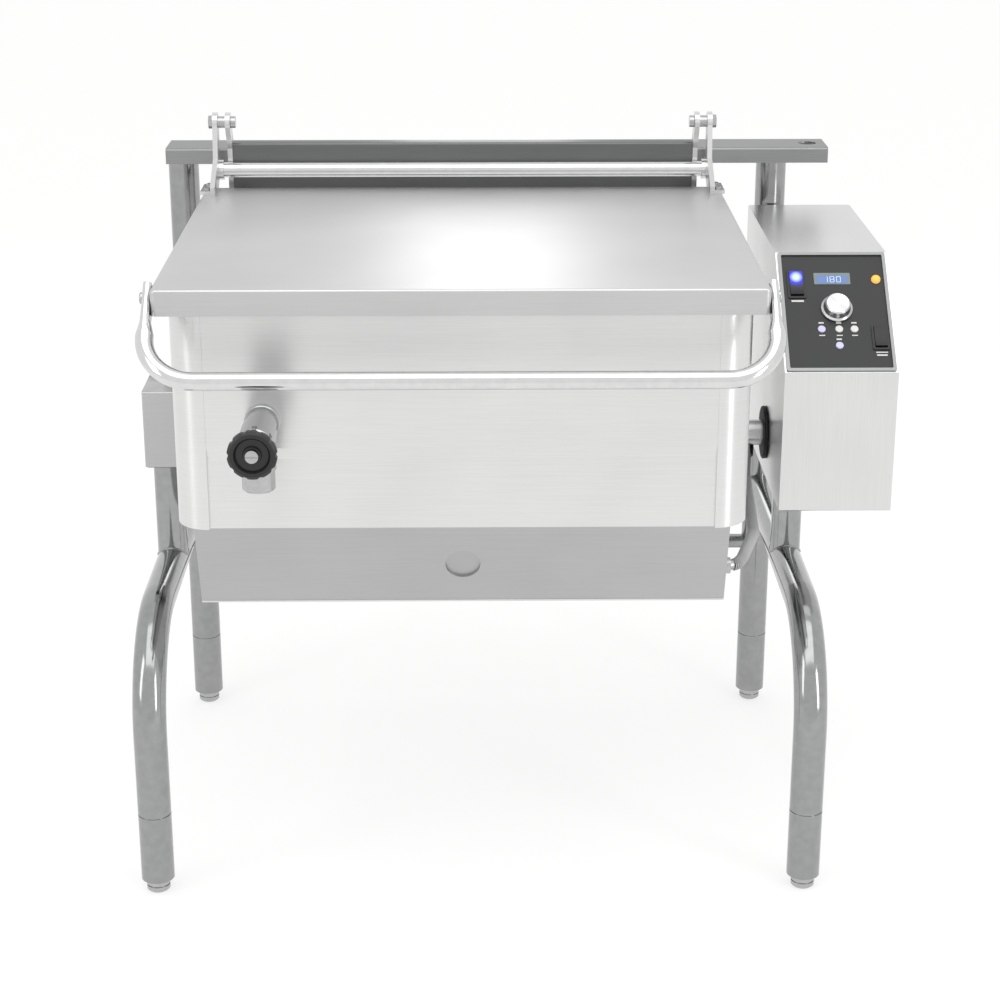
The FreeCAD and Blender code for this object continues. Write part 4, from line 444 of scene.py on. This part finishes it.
# %% Finishes on the nodes
finishes = {
    "bent_legs": tube_steel_painted_shade, "rear_legs": tube_steel_painted_shade, "bearing_posts": tube_steel_painted_shade,
    "leg_sockets": tube_steel_painted_shade, "rear_stretcher": tube_steel_painted_shade, "brace_tube": handle_steel,
    "lid_handle": handle_steel, "rear_rail": rail_sheet_painted_shade, "hinge_channel": channel_sheet_painted_shade,
    "pan_jacket": jacket_sheet, "heater_box": apron_sheet_painted_shade, "heater_cover": sheet_across,
    "port_plug": pan_steel, "lid_cover": lid_sheet_painted_shade, "lid_stiffeners": sheet_across,
    "hinge_arms": sheet_upright, "hinge_brackets": sheet_upright, "hub_plates": sheet_upright,
    "left_trunnion_cover": apron_sheet_painted_shade, "console_shell": console_sheet,
    "console_rear_cover": console_sheet, "panel_bezel": rail_sheet_painted_shade,
    "left_trunnion_shaft": casting_steel, "right_trunnion_shaft": casting_steel,
    "valve_body": casting_steel, "valve_nuts": casting_steel, "valve_stem": casting_steel,
    "hinge_pins": casting_steel, "lid_bolts": casting_steel, "flange_bolts": casting_steel,
    "conduit": casting_steel, "front_left_foot": casting_steel, "front_right_foot": casting_steel,
    "rear_left_foot": casting_steel, "rear_right_foot": casting_steel,
    "braising_pan": pan_steel, "heating_elements": pan_steel, "element_clamps": pan_steel,
    "left_bearing": gearbox_paint, "drive_gearbox": gearbox_paint, "tilt_motor": gearbox_paint,
    "left_bearing_bush": bronze, "shaft_seal": rubber, "lid_pads": rubber, "valve_disc": rubber,
    "valve_handwheel": phenolic, "supply_gland": phenolic, "switch_frames": phenolic,
    "tilt_switch_rocker": phenolic, "control_panel": panel_laminate, "display": display_glass,
    "power_switch_rocker": power_lens, "signal_lamp": lamp_lens, "thermostat_knob": knob_metal_painted_highlight,
    "control_board": board_lacquer, "contactors": white_plastic,
    "push_button_1": lilac_plastic, "push_button_2": white_plastic,
    "push_button_3": white_plastic, "push_button_4": lilac_plastic,
}
for name, node in nodes.items():
    node.data.materials.clear()
    node.data.materials.append(finishes[name])
print("finished nodes", len(finishes), "of", len(nodes))

# %% [markdown]
# The print on the panel is plain: a bar under each switch and short bars above and below the
# buttons. Each mark is a thin raised layer of ink. Places are measured from the knob's middle or
# from the control that the mark belongs to, across and up the slope.

# %% Small helpers for modelling
panel_turn = Matrix.Rotation(panel_tilt, 4, "X")


def on_slope(centre, across, up, out=0.0):
    """Point given in millimetres across, up and out of the panel from a centre in metres."""
    return centre + (panel_turn @ Vector((across, up, out))) * MM


def onto_face(point):
    """The point moved straight along the panel's normal onto the panel's face."""
    return point - panel_normal * (point - knob_centre).dot(panel_normal)


def deselect():
    bpy.ops.object.select_all(action="DESELECT")


def apply_all(item):
    """Puts the object's place into its mesh, so that the object sits at the origin."""
    deselect()
    item.select_set(True)
    bpy.context.view_layer.objects.active = item
    bpy.ops.object.transform_apply(location=True, rotation=True, scale=True)


def joined(items, name):
    deselect()
    for item in items:
        item.select_set(True)
    bpy.context.view_layer.objects.active = items[0]
    if len(items) > 1:
        bpy.ops.object.join()
    items[0].name = name
    return items[0]


def coat(item, material):
    item.data.materials.clear()
    item.data.materials.append(material)
    return item


def slope_tile(centre, across, up, width, height, low=0.0, thickness=0.3):
    """Thin tile lying on the panel; sizes in millimetres."""
    bpy.ops.mesh.primitive_cube_add(size=1, location=on_slope(centre, across, up, low + thickness / 2),
                                    rotation=(panel_tilt, 0, 0))
    tile = bpy.context.object
    tile.scale = Vector((width, height, thickness)) * MM
    apply_all(tile)
    return tile


# %% Marks on the control panel
marks = []
button_centres = [onto_face(node_centre("push_button_%d" % number)) for number in (1, 2, 3, 4)]
for number, centre in enumerate(button_centres):
    marks.append(slope_tile(centre, 0, 11.5, 8, 2.6))
    if number < 3:
        marks.append(slope_tile(centre, 0, -11.0, 9, 1.8))
power_face = onto_face(node_centre("power_switch_rocker"))
tilt_face = onto_face(node_centre("tilt_switch_rocker"))
marks.append(slope_tile(power_face, 0, -31.0, 19, 3.2))
marks.append(slope_tile(tilt_face, 0, -26.5, 18, 1.8))
marks.append(slope_tile(tilt_face, 0, -31.5, 16, 2.6))
panel_marks = coat(joined(marks, "panel_marks"), white_ink)
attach(panel_marks, "stand")
print("panel marks", len(marks))

# %% [markdown]
# The display is a small liquid crystal window. A blue field sits behind the glass frame, and its
# plain number is built from seven short bars per digit. The table says which bars each digit lights:
# top, upper left, upper right, middle, lower left, lower right and bottom.

# %% Display
digit_bars = {"1": (0, 0, 1, 0, 0, 1, 0), "8": (1, 1, 1, 1, 1, 1, 1), "0": (1, 1, 1, 0, 1, 1, 1)}
digit_width = 6.0
digit_height = 10.0
bar_width = 1.1
bar_places = [(0, 0.5, 1), (-0.5, 0.25, 0), (0.5, 0.25, 0), (0, 0, 1),
              (-0.5, -0.25, 0), (0.5, -0.25, 0), (0, -0.5, 1)]
digit_step = 10.0
field_drop = 1.5
display_face = onto_face(node_centre("display"))
field = coat(slope_tile(display_face, 0, -field_drop, 46, 14, 0.8, 0.2), lcd_field)
field.name = "lcd_field"
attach(field, "stand")
bars = []
for place_number, digit in enumerate("180"):
    for lit, (across, up, level) in zip(digit_bars[digit], bar_places):
        if lit:
            middle = (place_number - 1) * digit_step + across * digit_width
            size = (digit_width, bar_width) if level else (bar_width, digit_height / 2)
            bars.append(slope_tile(display_face, middle, up * digit_height - field_drop, *size, 1.0, 0.15))
digits = coat(joined(bars, "lcd_digits"), lcd_segment)
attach(digits, "stand")
print("display bars", len(bars))

# %% [markdown]
# A weld runs round each post where it lands on the side tube. The joint of two crossing tubes is a
# saddle: the bead is highest on the tube's crown and lowest at its flanks. A round curve with four
# control points comes close to it, with the two over the flanks set lower. The hubs on the pan's
# sides end square on a flat plate, so there a plain ring does.

# %% Weld beads
weld_steel = coated("tig_weld_bead", "8E8F90", "A6A7A8", 0.35, 2.2, 0.9, 1.0)
post_low, post_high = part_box("bearing_posts")
tube_radius = 25.4 * MM
post_radius = 24.15 * MM
bead_width = 4.0


def saddle_weld(name, x, y, axis_height, radius, crossing_radius, bead_mm, body):
    """Bead round an upright tube that stands on a level tube running front to back."""
    crown = axis_height + crossing_radius
    flank = axis_height + math.sqrt(crossing_radius ** 2 - radius ** 2)
    bpy.ops.curve.primitive_bezier_circle_add(radius=radius, location=(0, 0, 0))
    bead = bpy.context.object
    for point in bead.data.splines[0].bezier_points:
        height = flank if abs(point.co.x) > radius / 2 else crown
        for spot in (point.handle_left, point.handle_right, point.co):
            spot.z = height
    bead.data.bevel_depth = bead_mm * MM / 2
    bead.data.bevel_resolution = 4
    bead.data.resolution_u = 24
    bead.location = (x, y, 0)
    deselect()
    bead.select_set(True)
    bpy.context.view_layer.objects.active = bead
    bpy.ops.object.convert(target="MESH")
    apply_all(bead)
    bead.name = name
    bpy.ops.object.shade_smooth()
    coat(bead, weld_steel)
    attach(bead, body)
    return bead


tilt_place = Vector(joint_places["pan_tilt"]["pos_m"])
leg_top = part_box("bent_legs")[1].z
run_axis = leg_top - tube_radius
post_places = {"left": post_low.x + post_radius, "right": post_high.x - post_radius}
for side, x in post_places.items():
    saddle_weld("weld_post_" + side, x, tilt_place.y, run_axis, post_radius, tube_radius, bead_width, "stand")
print("posts at", {side: round(x, 3) for side, x in post_places.items()})
print("side tube axis", round(run_axis, 3))


def ring_weld(name, centre, axis, radius, bead_mm, body):
    """Plain round bead where a tube ends square on a flat or on a thicker tube."""
    turn = Vector((0, 0, 1)).rotation_difference(Vector(axis)).to_euler()
    bpy.ops.mesh.primitive_torus_add(location=centre, rotation=turn, major_radius=radius,
                                     minor_radius=bead_mm * MM / 2, major_segments=72, minor_segments=14)
    bead = bpy.context.object
    bead.name = name
    apply_all(bead)
    bpy.ops.object.shade_smooth()
    coat(bead, weld_steel)
    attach(bead, body)
    return bead


hub_low, hub_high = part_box("hub_plates")
hub_radius = 31.5 * MM
hub_past_plate = 10.0 * MM
for side, x in (("left", hub_low.x + hub_past_plate), ("right", hub_high.x - hub_past_plate)):
    ring_weld("weld_hub_" + side, (x, tilt_place.y, tilt_place.z), (1, 0, 0), hub_radius, bead_width, "pan")

# %% [markdown]
# The conduit is a strip-wound steel hose with narrow ridges. The solid conduit stays as its body, and
# only the ridges are added. One thin ring is modelled, an Array modifier repeats it in a straight
# row, and a Curve modifier lays the row along the route of the solid conduit. Both are applied.

# %% Ridged conduit
hose_radius = 8.5
ridge_pitch = 2.6
bend_radius = 30.0
ridge_thickness = 1.7
nut_length = 20
hose_corners = [(454.5, 0, -20.5), (454.5, 0, -72.5), (454.5, -137.5, -122), (423, -249, -122),
                (410, -275, -122), (384, -275, -122)]


longest_share = 0.45
straight_enough = 0.01


def rounded_route(corners, radius):
    """Bezier points (place, handle before, handle after) of a route with rounded corners."""
    places = [Vector(corner) for corner in corners]
    points = [(places[0], places[0], places[0])]
    for before, corner, after in zip(places, places[1:], places[2:]):
        incoming = (corner - before).normalized()
        outgoing = (after - corner).normalized()
        turn = incoming.angle(outgoing)
        if turn < straight_enough:
            continue
        shorter_side = min((corner - before).length, (after - corner).length)
        reach = min(radius * math.tan(turn / 2), shorter_side * longest_share)
        arm = reach * 4 / 3 * math.tan(turn / 4) / math.tan(turn / 2)
        start = corner - incoming * reach
        end = corner + outgoing * reach
        points.append((start, start - incoming, start + incoming * arm))
        points.append((end, end - outgoing * arm, end + outgoing))
    points.append((places[-1], places[-1], places[-1]))
    return points


route = rounded_route(hose_corners, bend_radius)
bpy.ops.curve.primitive_bezier_curve_add(location=(0, 0, 0))
path = bpy.context.object
spline = path.data.splines[0]
spline.bezier_points.add(len(route) - 2)
for point, (place, before, after) in zip(spline.bezier_points, route):
    point.handle_left_type = "FREE"
    point.handle_right_type = "FREE"
    point.co = tilt_place + place * MM
    point.handle_left = tilt_place + before * MM
    point.handle_right = tilt_place + after * MM
path.data.resolution_u = 24
path.data.twist_mode = "MINIMUM"
hose_length = spline.calc_length() / MM
bpy.ops.mesh.primitive_torus_add(location=(0, 0, nut_length * MM), major_radius=hose_radius * MM,
                                 minor_radius=ridge_thickness * MM / 2, major_segments=32, minor_segments=8)
ridges = bpy.context.object
apply_all(ridges)
row = ridges.modifiers.new("row", "ARRAY")
row.use_relative_offset = False
row.use_constant_offset = True
row.constant_offset_displace = (0, 0, ridge_pitch * MM)
row.count = int((hose_length - 2 * nut_length) / ridge_pitch)
along = ridges.modifiers.new("along", "CURVE")
along.object = path
along.deform_axis = "POS_Z"
for modifier in ("row", "along"):
    bpy.ops.object.modifier_apply(modifier=modifier)
bpy.ops.object.shade_smooth()
bpy.data.objects.remove(path)
ridges.name = "conduit_ridges"
coat(ridges, hose_steel)
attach(ridges, "pan")
corners = [ridges.matrix_world @ Vector(corner) for corner in ridges.bound_box]
print("hose length mm", round(hose_length), "ridges", len(ridges.data.vertices) // 256)
print("ridges from", [round(value, 3) for value in corners[0]])
print("ridges to", [round(value, 3) for value in corners[6]])
